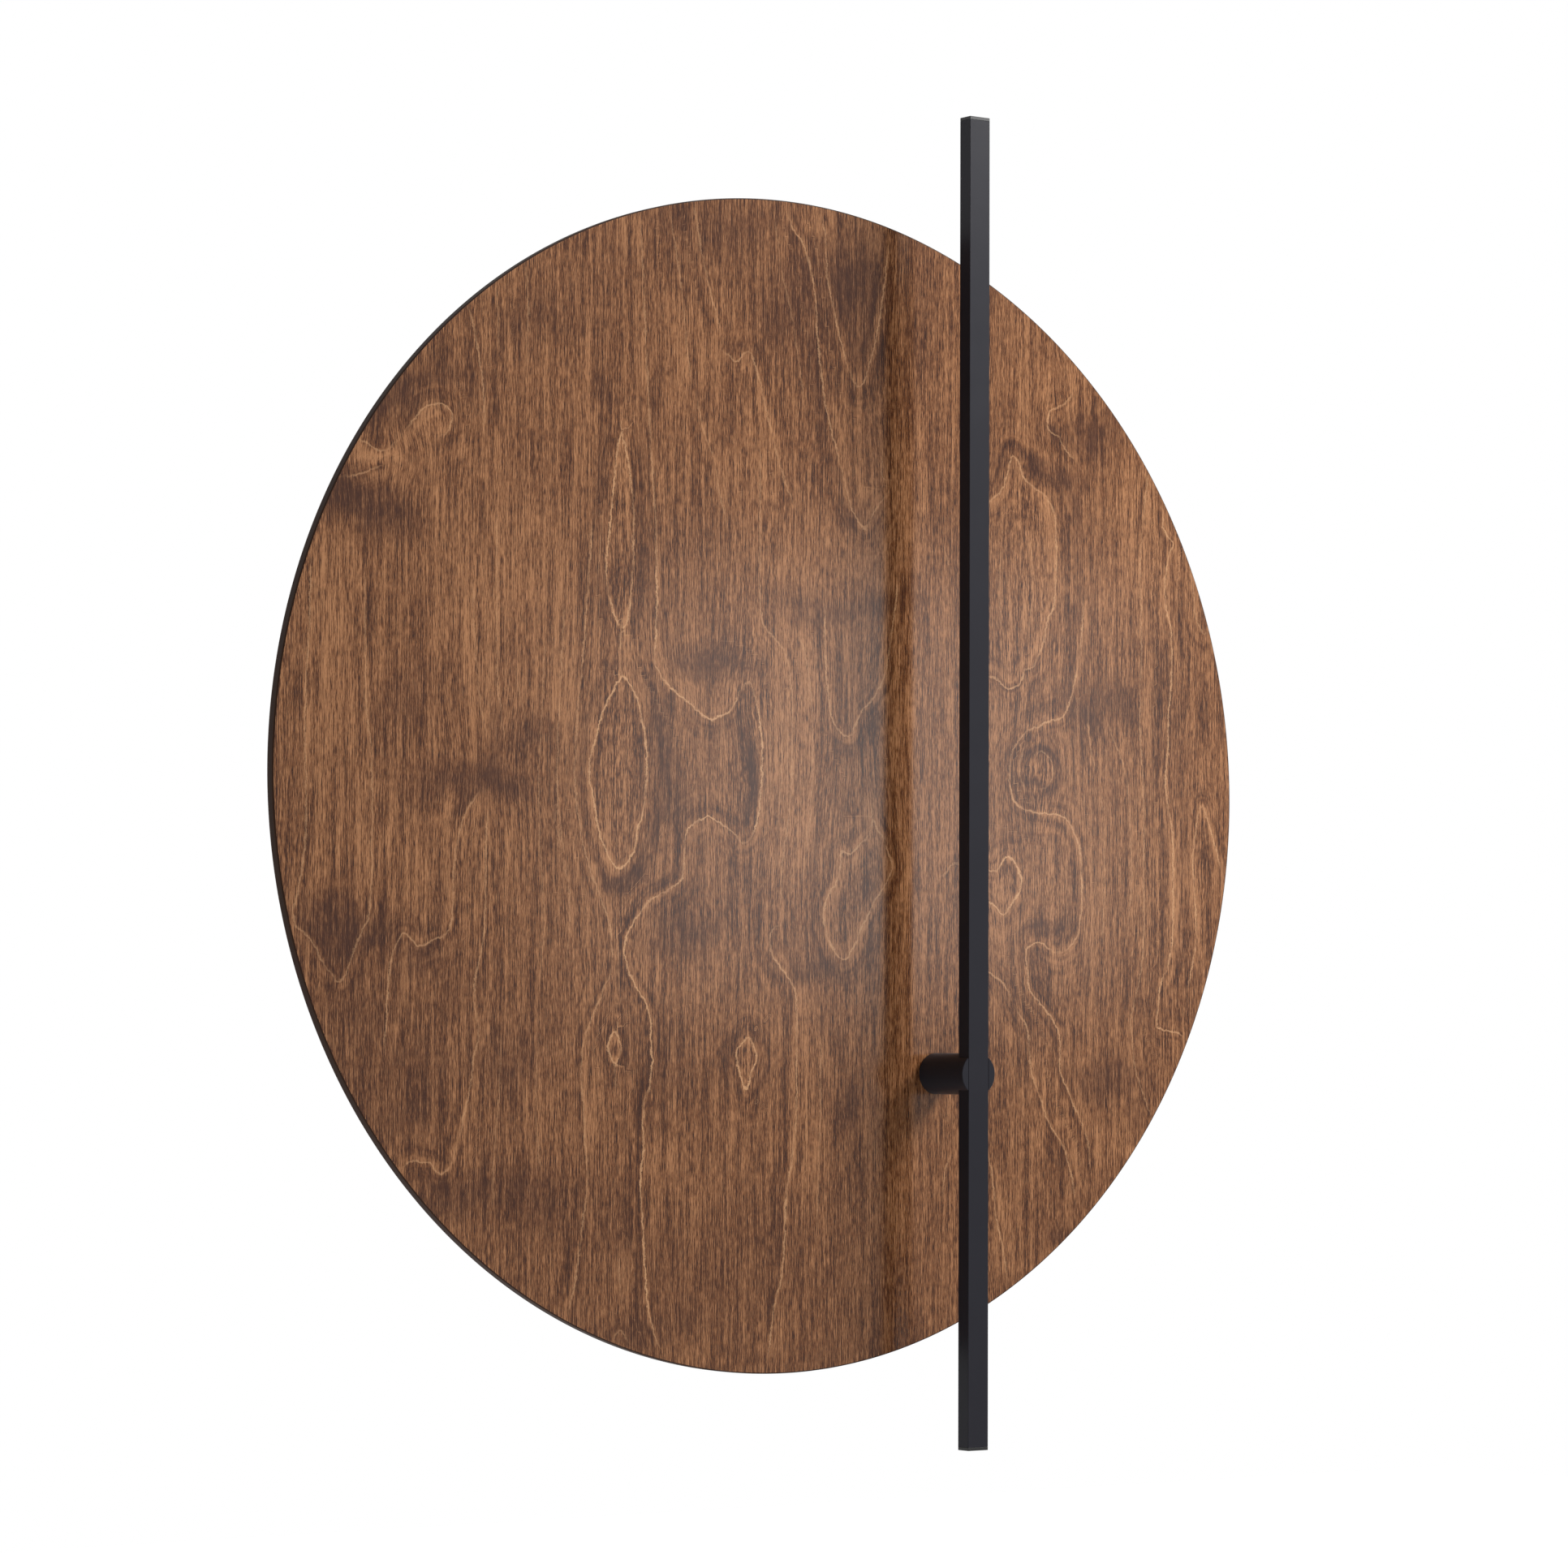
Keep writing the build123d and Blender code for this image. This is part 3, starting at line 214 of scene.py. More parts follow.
# ---- Stained plywood -----------------------------------------------------------------------
# The veneer's growth lines, drawn on the face in millimetres right of and above its centre.
# Each line has how strongly it shows, then its points. A line that ends where it starts is an
# eye. The darker wood lies on a line's left as it is drawn.
GROWTH_LINES = (
    # long eye above the middle, and the streak that hangs from it
    (0.9, (-117, 205), (-121, 180), (-124, 150), (-127, 122), (-123, 100), (-117, 88),
     (-112, 92), (-109, 112), (-108, 132), (-108, 155), (-111, 182), (-117, 205)),
    (0.5, (-116, 90), (-117, 76), (-116, 60)),
    # wide eye at the middle
    (1.0, (-115, 60), (-110, 55), (-104, 45), (-100, 30), (-98, 15), (-98, 0), (-100, -18),
     (-104, -30), (-106, -40), (-110, -48), (-118, -53), (-126, -43), (-131, -32),
     (-134, -18), (-138, 0), (-137, 13), (-133, 25), (-129, 38), (-123, 48), (-118, 57),
     (-115, 60)),
    # the line that follows that eye on its left, down to the lower edge
    (0.55, (-137, 150), (-139, 115), (-143, 70), (-147, 30), (-148, -5), (-144, -30),
     (-138, -52), (-130, -70), (-124, -83), (-122, -96), (-122, -112), (-129, -127),
     (-137, -144), (-142, -158), (-142, -178), (-140, -207), (-138, -232), (-140, -252),
     (-143, -272), (-146, -292), (-151, -312)),
    (0.4, (-156, 100), (-158, 60), (-160, 20), (-160, -10), (-157, -35), (-153, -58),
     (-151, -80), (-153, -108)),
    (0.3, (-169, 80), (-171, 40), (-173, 0), (-172, -40), (-169, -80), (-171, -120)),
    # the long double bend through the middle
    (0.45, (-104, 335), (-101, 280), (-98, 230), (-95, 185), (-92, 150), (-91, 122)),
    (1.0, (-92, 140), (-91, 115), (-91, 100), (-92, 83), (-92, 68), (-88, 61), (-83, 56),
     (-75, 50), (-65, 44), (-59, 39), (-51, 37), (-45, 39), (-37, 43), (-32, 53), (-25, 60),
     (-21, 54), (-18, 45), (-15, 25), (-15, 7), (-16, -10), (-18, -22), (-23, -33),
     (-29, -36), (-34, -31), (-42, -26), (-50, -22), (-55, -21), (-62, -24), (-69, -30),
     (-71, -45), (-72, -57), (-77, -62), (-87, -67), (-95, -71), (-105, -82), (-111, -91),
     (-113, -102), (-109, -114), (-104, -123), (-97, -132), (-94, -142), (-94, -153),
     (-93, -164), (-95, -180), (-99, -192), (-99, -217), (-101, -237), (-99, -262),
     (-97, -292), (-94, -314), (-87, -332)),
    # the left edge's long narrow tongue
    (0.5, (-326, 118), (-327, 75), (-329, 50), (-329, 12), (-328, -25), (-329, -47),
     (-333, -70), (-336, -82), (-334, -90), (-329, -93), (-322, -100), (-317, -109),
     (-311, -116), (-306, -121), (-301, -115), (-298, -107), (-293, -95), (-287, -83),
     (-285, -62), (-285, -37), (-285, -15), (-286, 12), (-289, 30), (-290, 60), (-291, 110)),
    # the two lines that hang from the dark wood on the left
    (0.6, (-213, -10), (-222, -22), (-227, -35), (-230, -50), (-231, -75), (-232, -87),
     (-237, -94), (-244, -96), (-253, -100), (-258, -96), (-264, -93), (-268, -98),
     (-272, -108), (-274, -127), (-276, -160)),
    (0.55, (-208, -20), (-209, -50), (-209, -75), (-210, -95), (-213, -108), (-216, -120),
     (-216, -132), (-213, -150), (-216, -162), (-218, -178), (-222, -194), (-227, -212),
     (-232, -225), (-239, -229), (-245, -223), (-252, -222), (-257, -221), (-266, -226)),
    (0.35, (-219, 110), (-217, 75), (-214, 45), (-211, 30), (-207, 20)),
    (0.4, (-203, 150), (-202, 90), (-202, 62), (-200, 40), (-197, 20)),
    (0.3, (-190, 70), (-187, 48), (-182, 30)),
    (0.3, (-163, -20), (-160, -35), (-157, -50), (-152, -62)),
    (0.3, (-198, -150), (-199, -185), (-202, -215), (-203, -250)),
    (0.3, (-172, -150), (-174, -190), (-170, -230)),
    # upper left edge
    (0.55, (-224, 269), (-220, 259), (-217, 245), (-214, 232), (-212, 217), (-212, 195)),
    (0.4, (-205, 284), (-203, 270), (-202, 240)),
    (0.35, (-184, 298), (-182, 270), (-183, 235)),
    # knots near the upper left edge, one with a rolled end
    (0.6, (-270, 186), (-264, 194), (-257, 202), (-252, 207), (-242, 210), (-235, 207),
     (-233, 201), (-238, 193), (-246, 191)),
    (0.5, (-300, 188), (-290, 184), (-281, 180), (-274, 183), (-268, 190)),
    (0.5, (-307, 164), (-295, 166), (-285, 170), (-275, 173)),
    # small eyes low on the face
    (0.9, (-119, -146), (-124, -156), (-121, -165), (-118, -166), (-115, -157), (-119, -146)),
    (0.5, (-119, -166), (-119, -181)),
    (1.0, (-24, -150), (-32, -158), (-32, -167), (-29, -175), (-26, -183), (-22, -172),
     (-18, -164), (-20, -156), (-24, -150)),
    (0.5, (-121, -328), (-115, -321), (-109, -328)),
    (0.4, (-116, -278), (-115, -300)),
    # tongue between the middle and the bar
    (0.7, (31, 110), (31, 88), (32, 70), (34, 52), (37, 40), (42, 33), (50, 30), (54, 37),
     (59, 46), (66, 52), (71, 59), (75, 66), (78, 75), (80, 88), (83, 104), (86, 130)),
    # jagged eye below it
    (0.75, (67, -9), (67, -18), (71, -25), (75, -30), (79, -39), (82, -49), (75, -61),
     (69, -68), (65, -75), (59, -85), (54, -95), (47, -104), (41, -101), (36, -95),
     (32, -85), (31, -75), (34, -66), (39, -59), (43, -50), (44, -39), (50, -41), (57, -35),
     (65, -28), (67, -20)),
    # lines that run down to the lower edge
    (0.75, (-2, -84), (-7, -87), (-9, -95), (-6, -103), (0, -110), (6, -117), (10, -124),
     (11, -135), (11, -162), (11, -198), (8, -224), (4, -242), (3, -262), (2, -277),
     (0, -294), (-4, -307), (-6, -320), (-9, -342)),
    (0.4, (29, -150), (29, -187), (28, -217), (27, -250), (26, -275)),
    # soft lines that arch over and run down between the middle and the bar
    (0.45, (-17, 200), (-17, 125), (-16, 100), (-12, 92), (-5, 86), (1, 80), (5, 68),
     (7, 50), (7, 25), (7, 0), (4, -25), (0, -50), (-1, -75)),
    (0.35, (10, 92), (16, 80), (20, 60), (22, 35), (22, 5), (19, -30), (14, -60)),
    (0.3, (-2, 60), (0, 30), (-1, 0), (-4, -30)),
    # nested tongues at the top
    (0.7, (27, 346), (31, 329), (32, 307), (36, 292), (40, 277), (45, 260), (50, 249),
     (55, 242), (61, 247), (64, 257), (68, 270), (72, 287), (75, 304), (78, 330)),
    (0.65, (2, 343), (7, 333), (15, 324), (20, 309), (23, 297), (25, 270), (30, 235),
     (34, 219), (39, 204), (45, 185), (50, 170), (54, 163), (61, 156), (68, 167), (77, 178)),
    (0.45, (74, 205), (74, 188), (80, 187)),
    (0.5, (-66, 343), (-62, 322), (-59, 309), (-54, 292), (-50, 279), (-45, 262)),
    (0.55, (-45, 256), (-39, 253), (-36, 250), (-31, 252), (-29, 256), (-24, 256),
     (-19, 244), (-15, 232), (-11, 217), (-7, 204), (-2, 189), (3, 177), (9, 165)),
    (0.4, (-64, 232), (-61, 217), (-56, 202), (-50, 189), (-47, 172), (-40, 150)),
    (0.4, (-84, 340), (-78, 310), (-73, 280), (-70, 252), (-67, 235)),
    (0.3, (-8, 344), (-2, 310), (6, 280), (12, 250), (16, 220)),
    # tall loop right of the bar
    (0.7, (150, 72), (157, 71), (163, 69), (168, 65), (174, 64), (181, 69), (184, 76),
     (191, 79), (196, 88), (199, 95), (202, 108), (206, 114), (208, 128), (209, 152),
     (208, 170), (204, 180), (199, 186), (192, 189), (184, 194), (179, 204), (174, 208),
     (171, 199), (166, 187), (157, 179), (150, 176)),
    (0.3, (165, 100), (164, 130), (166, 160)),
    (0.3, (186, 95), (190, 125), (188, 160)),
    # the line that rolls round the swirl and ends in a hook
    (0.75, (230, 125), (230, 108), (226, 82), (222, 65), (217, 52), (212, 47), (202, 45),
     (194, 41), (187, 39), (179, 32), (174, 25), (172, 15), (173, 2), (177, -6),
     (187, -11), (197, -12), (212, -13), (219, -17), (224, -25), (227, -32), (229, -50),
     (229, -70), (227, -85), (222, -92), (213, -98), (204, -96), (197, -92), (189, -93),
     (185, -98), (186, -110), (188, -121), (197, -130), (207, -141), (212, -152),
     (212, -170), (219, -184), (227, -200), (234, -214), (236, -232)),
    (0.45, (184, 30), (180, 18), (181, 8), (186, 1)),
    (0.4, (190, 22), (196, 26), (204, 22), (206, 12), (201, 4), (193, 3)),
    # small bright loop beside the bar
    (1.0, (150, -46), (157, -48), (163, -48), (168, -41), (173, -40), (178, -45),
     (180, -50), (182, -54), (179, -62), (174, -69), (168, -75), (162, -71), (157, -68),
     (150, -66)),
    (0.5, (120, -52), (123, -50), (127, -45), (133, -45)),
    # long lines down the right
    (0.85, (294, 184), (295, 172), (298, 166), (303, 161), (299, 152), (296, 132),
     (298, 118), (301, 108), (302, 88), (301, 68), (299, 50), (299, 30), (297, 15),
     (298, 0), (301, -15), (303, -32), (303, -50), (303, -75), (302, -90), (298, -107),
     (293, -115), (291, -130), (290, -143), (299, -146), (307, -147), (314, -152)),
    (0.5, (284, 208), (281, 192), (278, 170), (276, 140), (277, 117), (277, 88), (276, 62),
     (276, 42), (278, 17), (279, -12), (279, -50), (279, -88), (276, -112), (269, -137),
     (270, -154), (273, -172), (278, -184), (285, -200)),
    (0.8, (315, -120), (317, -110), (321, -95), (322, -80), (321, -62), (319, -40),
     (321, -25), (323, -11), (327, -4), (332, -14), (337, -28), (343, -44)),
    (0.55, (316, 150), (319, 136), (322, 115), (328, 106), (333, 108)),
    (0.4, (233, 55), (235, 37), (237, 25), (242, 15)),
    (0.35, (250, 45), (256, 33), (262, 22), (266, 7), (268, -15), (269, -50), (266, -90)),
    (0.3, (244, 5), (247, -20), (247, -60), (245, -95)),
    # lower right
    (0.7, (150, -106), (157, -111), (163, -114), (170, -120), (177, -132), (186, -144),
     (188, -157), (190, -172), (196, -187), (204, -204), (210, -211), (216, -220),
     (221, -235), (224, -252)),
    (0.6, (155, -220), (158, -230), (160, -242), (162, -260), (167, -277), (171, -300)),
    (0.5, (130, -222), (126, -224), (123, -232), (121, -250)),
    # small open eye at the upper right
    (0.65, (222, 254), (220, 247), (211, 241), (204, 238), (202, 229), (205, 224),
     (211, 223), (214, 217), (219, 212), (227, 205)),
    (0.35, (120, 152), (123, 143), (126, 134)),
)

# Soft dark rings and bands, drawn the same way: how dark, half width, then the points.
DARK_BANDS = (
    (0.9, 4.0, (-104, 64), (-95, 50), (-88, 32), (-84, 15), (-84, -2), (-87, -17), (-93, -32),
     (-99, -46), (-107, -58), (-116, -66), (-124, -60), (-132, -48)),
    (0.7, 3.0, (-118, 70), (-130, 55), (-139, 38), (-143, 18), (-144, -2), (-141, -22),
     (-135, -42), (-127, -60), (-119, -76)),
    (0.8, 3.0, (-28, 48), (-33, 25), (-33, 5), (-31, -12), (-27, -22), (-24, -12), (-22, 8),
     (-25, 30), (-28, 48)),
    (0.45, 3.0, (-127, 215), (-132, 180), (-134, 150), (-133, 110), (-126, 84)),
    (0.45, 3.0, (-106, 205), (-101, 180), (-100, 150), (-101, 115), (-105, 90), (-112, 76)),
    (0.6, 3.0, (-114, -178), (-109, -162), (-110, -146), (-119, -134), (-129, -146),
     (-130, -160), (-124, -176)),
    (0.5, 3.5, (-20, -190), (-12, -168), (-14, -152), (-25, -138), (-38, -154), (-38, -172),
     (-30, -192)),
    (0.9, 3.0, (184, 22), (192, 27), (203, 25), (211, 16), (209, 6), (201, 0), (192, -3),
     (184, 1)),
    (0.5, 4.0, (176, 42), (190, 51), (205, 54), (216, 62), (222, 78), (224, 96)),
    (0.7, 3.5, (162, 212), (176, 214), (190, 207), (204, 205), (215, 198), (222, 186),
     (226, 170), (227, 150), (226, 120), (224, 100)),
    (0.7, 3.5, (216, -28), (219, -45), (219, -65), (216, -80), (206, -86), (194, -83),
     (184, -85), (176, -94), (175, -108)),
    (0.5, 3.0, (240, 50), (247, 35), (253, 20), (257, 0), (258, -30), (257, -70), (252, -110)),
    (0.5, 3.0, (227, 42), (234, 20), (239, 0), (240, -40), (239, -80), (233, -112),
     (224, -132)),
    (0.8, 4.0, (-204, 42), (-202, 22), (-204, 6), (-212, -8), (-226, -20), (-236, -34)),
    (0.5, 4.0, (40, 345), (42, 320), (45, 300), (50, 280), (57, 266), (63, 280), (67, 300),
     (70, 330)),
    (0.5, 3.5, (12, 320), (16, 300), (20, 270), (25, 235), (33, 205), (42, 180), (50, 158),
     (60, 146), (72, 158)),
    (0.5, 3.5, (-84, 115), (-84, 85), (-80, 72), (-70, 64), (-58, 58)),
    (0.45, 3.5, (24, 104), (25, 70), (28, 48), (36, 28), (48, 20), (60, 30), (72, 42)),
    (0.5, 3.0, (24, -40), (22, -70), (24, -92), (34, -110), (48, -118), (62, -104),
     (74, -80)),
    (0.5, 4.0, (-320, -78), (-318, -92), (-311, -104), (-304, -106), (-298, -92),
     (-296, -72)),
    (0.5, 3.0, (-262, -84), (-254, -90), (-244, -88), (-238, -76), (-237, -50)),
    (0.5, 3.0, (-60, -110), (-75, -100), (-92, -98), (-103, -106), (-104, -114)),
    (0.4, 3.0, (140, 88), (157, 84), (170, 78), (180, 84), (188, 98), (192, 120)),
    (0.4, 3.0, (308, 150), (306, 110), (307, 60), (304, 20), (308, -30), (309, -80),
     (304, -120)),
    (0.4, 3.0, (290, 130), (288, 80), (287, 30), (289, -30), (288, -90)),
)

# Darker wood, and painted shade in the last three broad patches across the face's top, bottom and
# lower left: centre right and up, half width, half height, and how dark.
DARK_WOOD_AND_SHADE_PATCHES = (
    (-52, 68, 26, 12, 1.0), (-27, 6, 5, 24, 0.9), (-205, -2, 24, 9, 1.0),
    (-242, -10, 26, 9, 0.7), (-180, 20, 14, 8, 0.6), (-300, -88, 28, 12, 0.9),
    (-252, -110, 22, 9, 0.6), (-296, 150, 32, 14, 1.4), (-272, 212, 32, 13, 1.3),
    (-240, 230, 26, 14, 0.5), (-84, 30, 9, 26, 0.6), (-78, -14, 12, 14, 0.6),
    (46, 306, 22, 20, 0.9), (30, 108, 34, 8, 0.7), (78, 112, 20, 10, 0.7),
    (22, -108, 28, 8, 0.8), (52, -192, 20, 10, 0.5), (226, 52, 10, 12, 0.9),
    (252, 56, 16, 16, 0.6), (236, 226, 18, 13, 0.8), (203, 196, 18, 7, 0.9),
    (225, 175, 4, 26, 0.5), (195, 2, 14, 3, 0.9), (192, 22, 7, 4, 0.6),
    (204, 232, 5, 5, 1.2), (250, -176, 24, 12, 0.9), (276, -196, 16, 12, 0.5),
    (-256, -196, 24, 10, 0.4), (-240, -244, 34, 12, 0.7), (206, -276, 12, 5, 0.8),
    (-112, -62, 20, 5, 0.9), (-72, -86, 24, 10, 0.7), (-82, -160, 12, 30, 0.3),
    (62, 166, 16, 10, 0.7), (-128, 228, 6, 10, 0.6), (-100, -320, 36, 10, 0.6),
    (-260, 40, 24, 22, 0.4), (-190, -160, 30, 14, 0.5), (-170, -240, 22, 16, 0.4),
    (60, -58, 14, 10, 0.4), (210, -86, 24, 6, 0.7), (0, 290, 12, 26, 0.4),
    (-40, 330, 40, 12, 0.4), (-180, 262, 30, 16, 0.5), (-86, 118, 3, 30, 0.3),
    # The last three patches are painted shade: broad darkening across the top, the bottom and the
    # lower left of the face, where the light falls off.
    (160, 200, 16, 8, 0.4), (290, 60, 6, 50, 0.3), (-10, 320, 190, 60, 0.35),
    (0, -310, 220, 70, 0.3), (-290, -150, 70, 90, 0.35),
)

# Paler wood, in the same terms.
PALE_PATCHES = (
    (-120, 175, 5, 34, 1.0), (-118, -19, 6, 10, 0.3), (-24, -163, 8, 14, 0.5),
    (-115, -292, 6, 14, 0.7), (-281, 181, 12, 5, 2.2), (202, 16, 6, 6, 0.8),
    (168, -56, 13, 13, 0.6), (46, -41, 7, 6, 0.8), (68, -16, 4, 8, 0.7),
    (8, 10, 16, 80, 0.6), (-250, 201, 12, 8, 0.3), (-116, 80, 4, 10, 0.5),
    (326, -6, 5, 4, 0.9), (-140, 60, 20, 120, 0.3), (-318, 60, 10, 70, 0.3),
    (-210, -60, 5, 50, 0.4), (98, 60, 8, 160, 0.2), (-134, -17, 3, 6, 0.8),
    (204, -60, 16, 40, 0.2), (-3, 180, 14, 20, 0.3), (-95, 140, 4, 60, 0.3),
    (-185, 110, 40, 80, 0.45), (-312, 50, 20, 90, 0.35), (20, 140, 60, 40, 0.3),
    (250, 60, 80, 160, 0.15),
)

# Where the grain parts round an eye: centre, half width, half height, and the push.
PARTINGS = (
    (-117, 146, 14, 66, 6.0), (-118, 2, 26, 66, 11.0), (-28, 12, 18, 52, 6.0),
    (-120, -157, 8, 18, 4.0), (-25, -166, 10, 24, 5.0), (196, 12, 20, 26, 10.0),
    (168, -56, 15, 22, 7.0), (204, -60, 26, 48, 9.0), (184, 130, 28, 76, 10.0),
    (-280, 178, 18, 12, 6.0), (-246, 200, 14, 12, 5.0), (56, -62, 26, 52, 8.0),
    (326, -30, 10, 40, 4.0), (206, 231, 10, 16, 4.0), (-210, 5, 20, 26, -7.0),
    (-55, 50, 30, 20, -6.0), (55, 270, 24, 60, -6.0), (50, 50, 20, 40, -5.0),
)


# In millimetres: how far from a line its figure reaches, and the length and the overrun of the
# fade at an open line's ends. The wood behind the face is kept plain from this depth on.
REACH = 30.0
FADE = 12.0
OVERRUN = 4.0
FACE_DEPTH = 0.01


def rounded_line(points):
    """The points of a smooth line through the drawn ones, four for each stretch."""
    points = numpy.array(points, float)
    ends = numpy.vstack([2 * points[0] - points[1], points, 2 * points[-1] - points[-2]])
    out = [points[:1]]
    steps = numpy.linspace(0.25, 1.0, 4)[:, None]
    for p0, p1, p2, p3 in zip(ends, ends[1:], ends[2:], ends[3:]):
        curve = (
            2 * p1
            + (p2 - p0) * steps
            + (2 * p0 - 5 * p1 + 4 * p2 - p3) * steps**2
            + (3 * p1 - p0 - 3 * p2 + p3) * steps**3
        )
        out.append(curve / 2)
    return numpy.vstack(out)


def smooth(values, low, high):
    """0 below low, 1 above high, smooth between them."""
    share = numpy.clip((values - low) / (high - low), 0, 1)
    return share * share * (3 - 2 * share)


def draw_figure(lines, across, up, reach=REACH):
    """Signed distance to the nearest growth line, and how strongly it shows, per point."""
    nearest = numpy.full(len(across), reach)
    shows = numpy.zeros(len(across))
    for strength, *points in lines:
        line = rounded_line(points)
        eye = points[0] == points[-1]
        runs = numpy.hypot(*numpy.diff(line, axis=0).T)
        gone = numpy.concatenate([[0], numpy.cumsum(runs)])
        low, high = line.min(0) - reach, line.max(0) + reach
        near = (across > low[0]) & (across < high[0]) & (up > low[1]) & (up < high[1])
        spots = numpy.flatnonzero(near)
        here = numpy.stack([across[spots], up[spots]], 1)
        best = numpy.full(len(spots), numpy.inf)
        signed = numpy.full(len(spots), reach)
        along = numpy.zeros(len(spots))
        for start, end, run, before in zip(line, line[1:], runs, gone):
            step = (end - start) / run
            offset = here - start
            travel = numpy.clip(offset @ step, 0, run)
            gap = offset - travel[:, None] * step
            distance = numpy.hypot(gap[:, 0], gap[:, 1])
            closer = distance < best
            side = numpy.sign(offset[:, 0] * step[1] - offset[:, 1] * step[0])
            best = numpy.where(closer, distance, best)
            signed = numpy.where(closer, distance * numpy.where(side < 0, -1, 1), signed)
            along = numpy.where(closer, before + travel, along)
        show = numpy.full(len(spots), strength)
        if not eye:
            fade = min(FADE, gone[-1] / 3)
            show *= smooth(along, -OVERRUN, fade) * smooth(gone[-1] - along, -OVERRUN, fade)
        closer = best < numpy.abs(nearest[spots])
        nearest[spots] = numpy.where(closer, signed, nearest[spots])
        shows[spots] = numpy.where(closer, show, shows[spots])
    return nearest, shows


def draw_bands(across, up):
    """How much the soft dark bands darken each point."""
    total = numpy.zeros(len(across))
    for strength, half_width, *points in DARK_BANDS:
        distance, shows = draw_figure(((strength, *points),), across, up, 4 * half_width)
        total += shows * numpy.exp(-((distance / half_width) ** 2))
    return total


def wander(across, up):
    """The points moved by a few millimetres in slow waves, so that no patch has an even outline."""
    bent = across + 6 * numpy.sin(up / 13 + 2 * numpy.sin(across / 29))
    up = up + 5 * numpy.sin(across / 17 + 2 * numpy.sin(up / 31)) + 2 * numpy.sin(across / 5.3)
    return bent + 2 * numpy.sin(up / 4.7), up


def blurs(patches, across, up):
    """How much the soft patches cover each point."""
    total = numpy.zeros(len(across))
    across, up = wander(across, up)
    for right, above, half_width, half_height, amount in patches:
        square = ((across - right) / half_width) ** 2 + ((up - above) / half_height) ** 2
        total += amount * numpy.exp(-square * 0.9)
    return total


def part_grain(across, up):
    """How far the grain is pushed aside at each point, in millimetres."""
    shift = numpy.zeros(len(across))
    for right, above, half_width, half_height, push in PARTINGS:
        side = (across - right) / half_width
        square = side**2 + ((up - above) / half_height) ** 2
        shift += push * side * numpy.exp(-square * 0.8)
    return shift


# The veneer's noises: waves in a millimetre across and up the face, detail, roughness, seed.
VENEER = {
    "wobble": (0.30, 0.22, 4.0, 0.75, 8.4),
    "breaks": (0.05, 0.05, 3.0, 0.6, 5.0),
    "pores": (3.0, 0.16, 2.0, 0.75, 1.0),
    "fibres": (1.8, 0.030, 3.0, 0.8, 2.0),
    "streaks": (0.24, 0.007, 5.0, 0.85, 4.0),
    "clouds": (0.014, 0.010, 5.0, 0.6, 6.0),
    "grit": (0.09, 0.09, 5.0, 0.75, 7.0),
}
# Colour of the dark patches, which also paints the shade at the face's top, bottom and lower left.
PATCH_STAIN_AND_SHADE = (0.058, 0.023, 0.014)
PIT_STAIN = (0.036, 0.012, 0.006)
LACQUER = {"Coat_Weight": 1.0, "Coat_Roughness": 0.15, "Coat_IOR": 1.6}


def stained_plywood():
    """The disc's face: growth lines, dark and pale wood, painted shade at the face's top, bottom
    and lower left, grain and pores, all under lacquer.
    """
    finish = Finish("stained_plywood")
    across, _, up = finish.millimetres()
    distance, shows, parting = finish.parts(finish.attribute("figure"))
    dark_wood_and_shade, pale_wood, bands = finish.parts(finish.attribute("patches"))

    def veneer(name, sideways):
        wide, tall, detail, roughness, seed = VENEER[name]
        spot = finish.vector(sideways * wide, 0.0, up * tall)
        return finish.noise(spot, 1.0, detail, roughness, seed)

    # the growth lines, with the glow, the shade and the ripples beside them
    gap = abs(distance + (veneer("wobble", across) - 0.5) * 5.5)
    presence = shows * veneer("breaks", across).step_up(0.26, 0.58)
    line = gap.step_down(0.05, 0.9) * presence
    glow = gap.step_down(0.0, 6.0) * presence
    shade = distance.step_up(-1.0, 3.0) * distance.step_down(3.0, 14.0) * shows.step_up(0.3, 1.0)
    spot = finish.vector(distance * 0.16, across * 0.010, up * 0.010)
    ripple = finish.noise(spot, 1.0, 3.0, 0.6, 12.0) - 0.5
    ripple = ripple * gap.step_down(2.0, 28.0) * shows.step_up(0.0, 0.6)

    # the grain, which parts round the eyes
    flow = across - parting
    pores, fibres, streaks = (veneer(name, flow) for name in ("pores", "fibres", "streaks"))
    clouds, grit = (veneer(name, across) for name in ("clouds", "grit"))

    # how pale the wood is, from 0 to 1, and how dark its patches are, with the painted shade at the
    # face's top, bottom and lower left
    patch = dark_wood_and_shade * (0.85 + (grit - 0.5) * 2.6) + bands * (0.55 + (grit - 0.5) * 1.6)
    patch = (patch + (clouds - 0.55) * 0.9).clamped()
    tone = 0.50 + (pores - 0.5) * 3.6 + (fibres - 0.5) * 3.6 + (streaks - 0.5) * 2.7
    tone = tone - (clouds - 0.5) * 0.4 + (grit - 0.5) * 0.45
    tone = tone + glow * 0.12 - shade * 0.16 + ripple * 1.6
    tone = (tone - patch * 0.36 + pale_wood * 0.26).clamped()
    pits = pores.step_down(0.34, 0.48) * fibres.step_down(0.40, 0.60)

    face = finish.mix(tone.step_up(0.0, 0.56), chosen("stain_dark"), chosen("stain_middle"))
    face = finish.mix(tone.step_up(0.42, 1.05), face, chosen("stain_light"))
    # dark patches of the wood, and the painted shade at the face's top, bottom and lower left
    face = finish.mix(patch * 0.42, face, colour(*PATCH_STAIN_AND_SHADE))
    face = finish.mix(line * 0.92, face, chosen("stain_line"))
    face = finish.mix(pits * 0.60, face, colour(*PIT_STAIN))
    finish.set(Base_Color=face, Roughness=0.5, Specular_IOR_Level=0.0, **LACQUER)
    finish.bump(pores * 0.6 + fibres * 0.4, 0.05, 0.0003)
    return finish.material


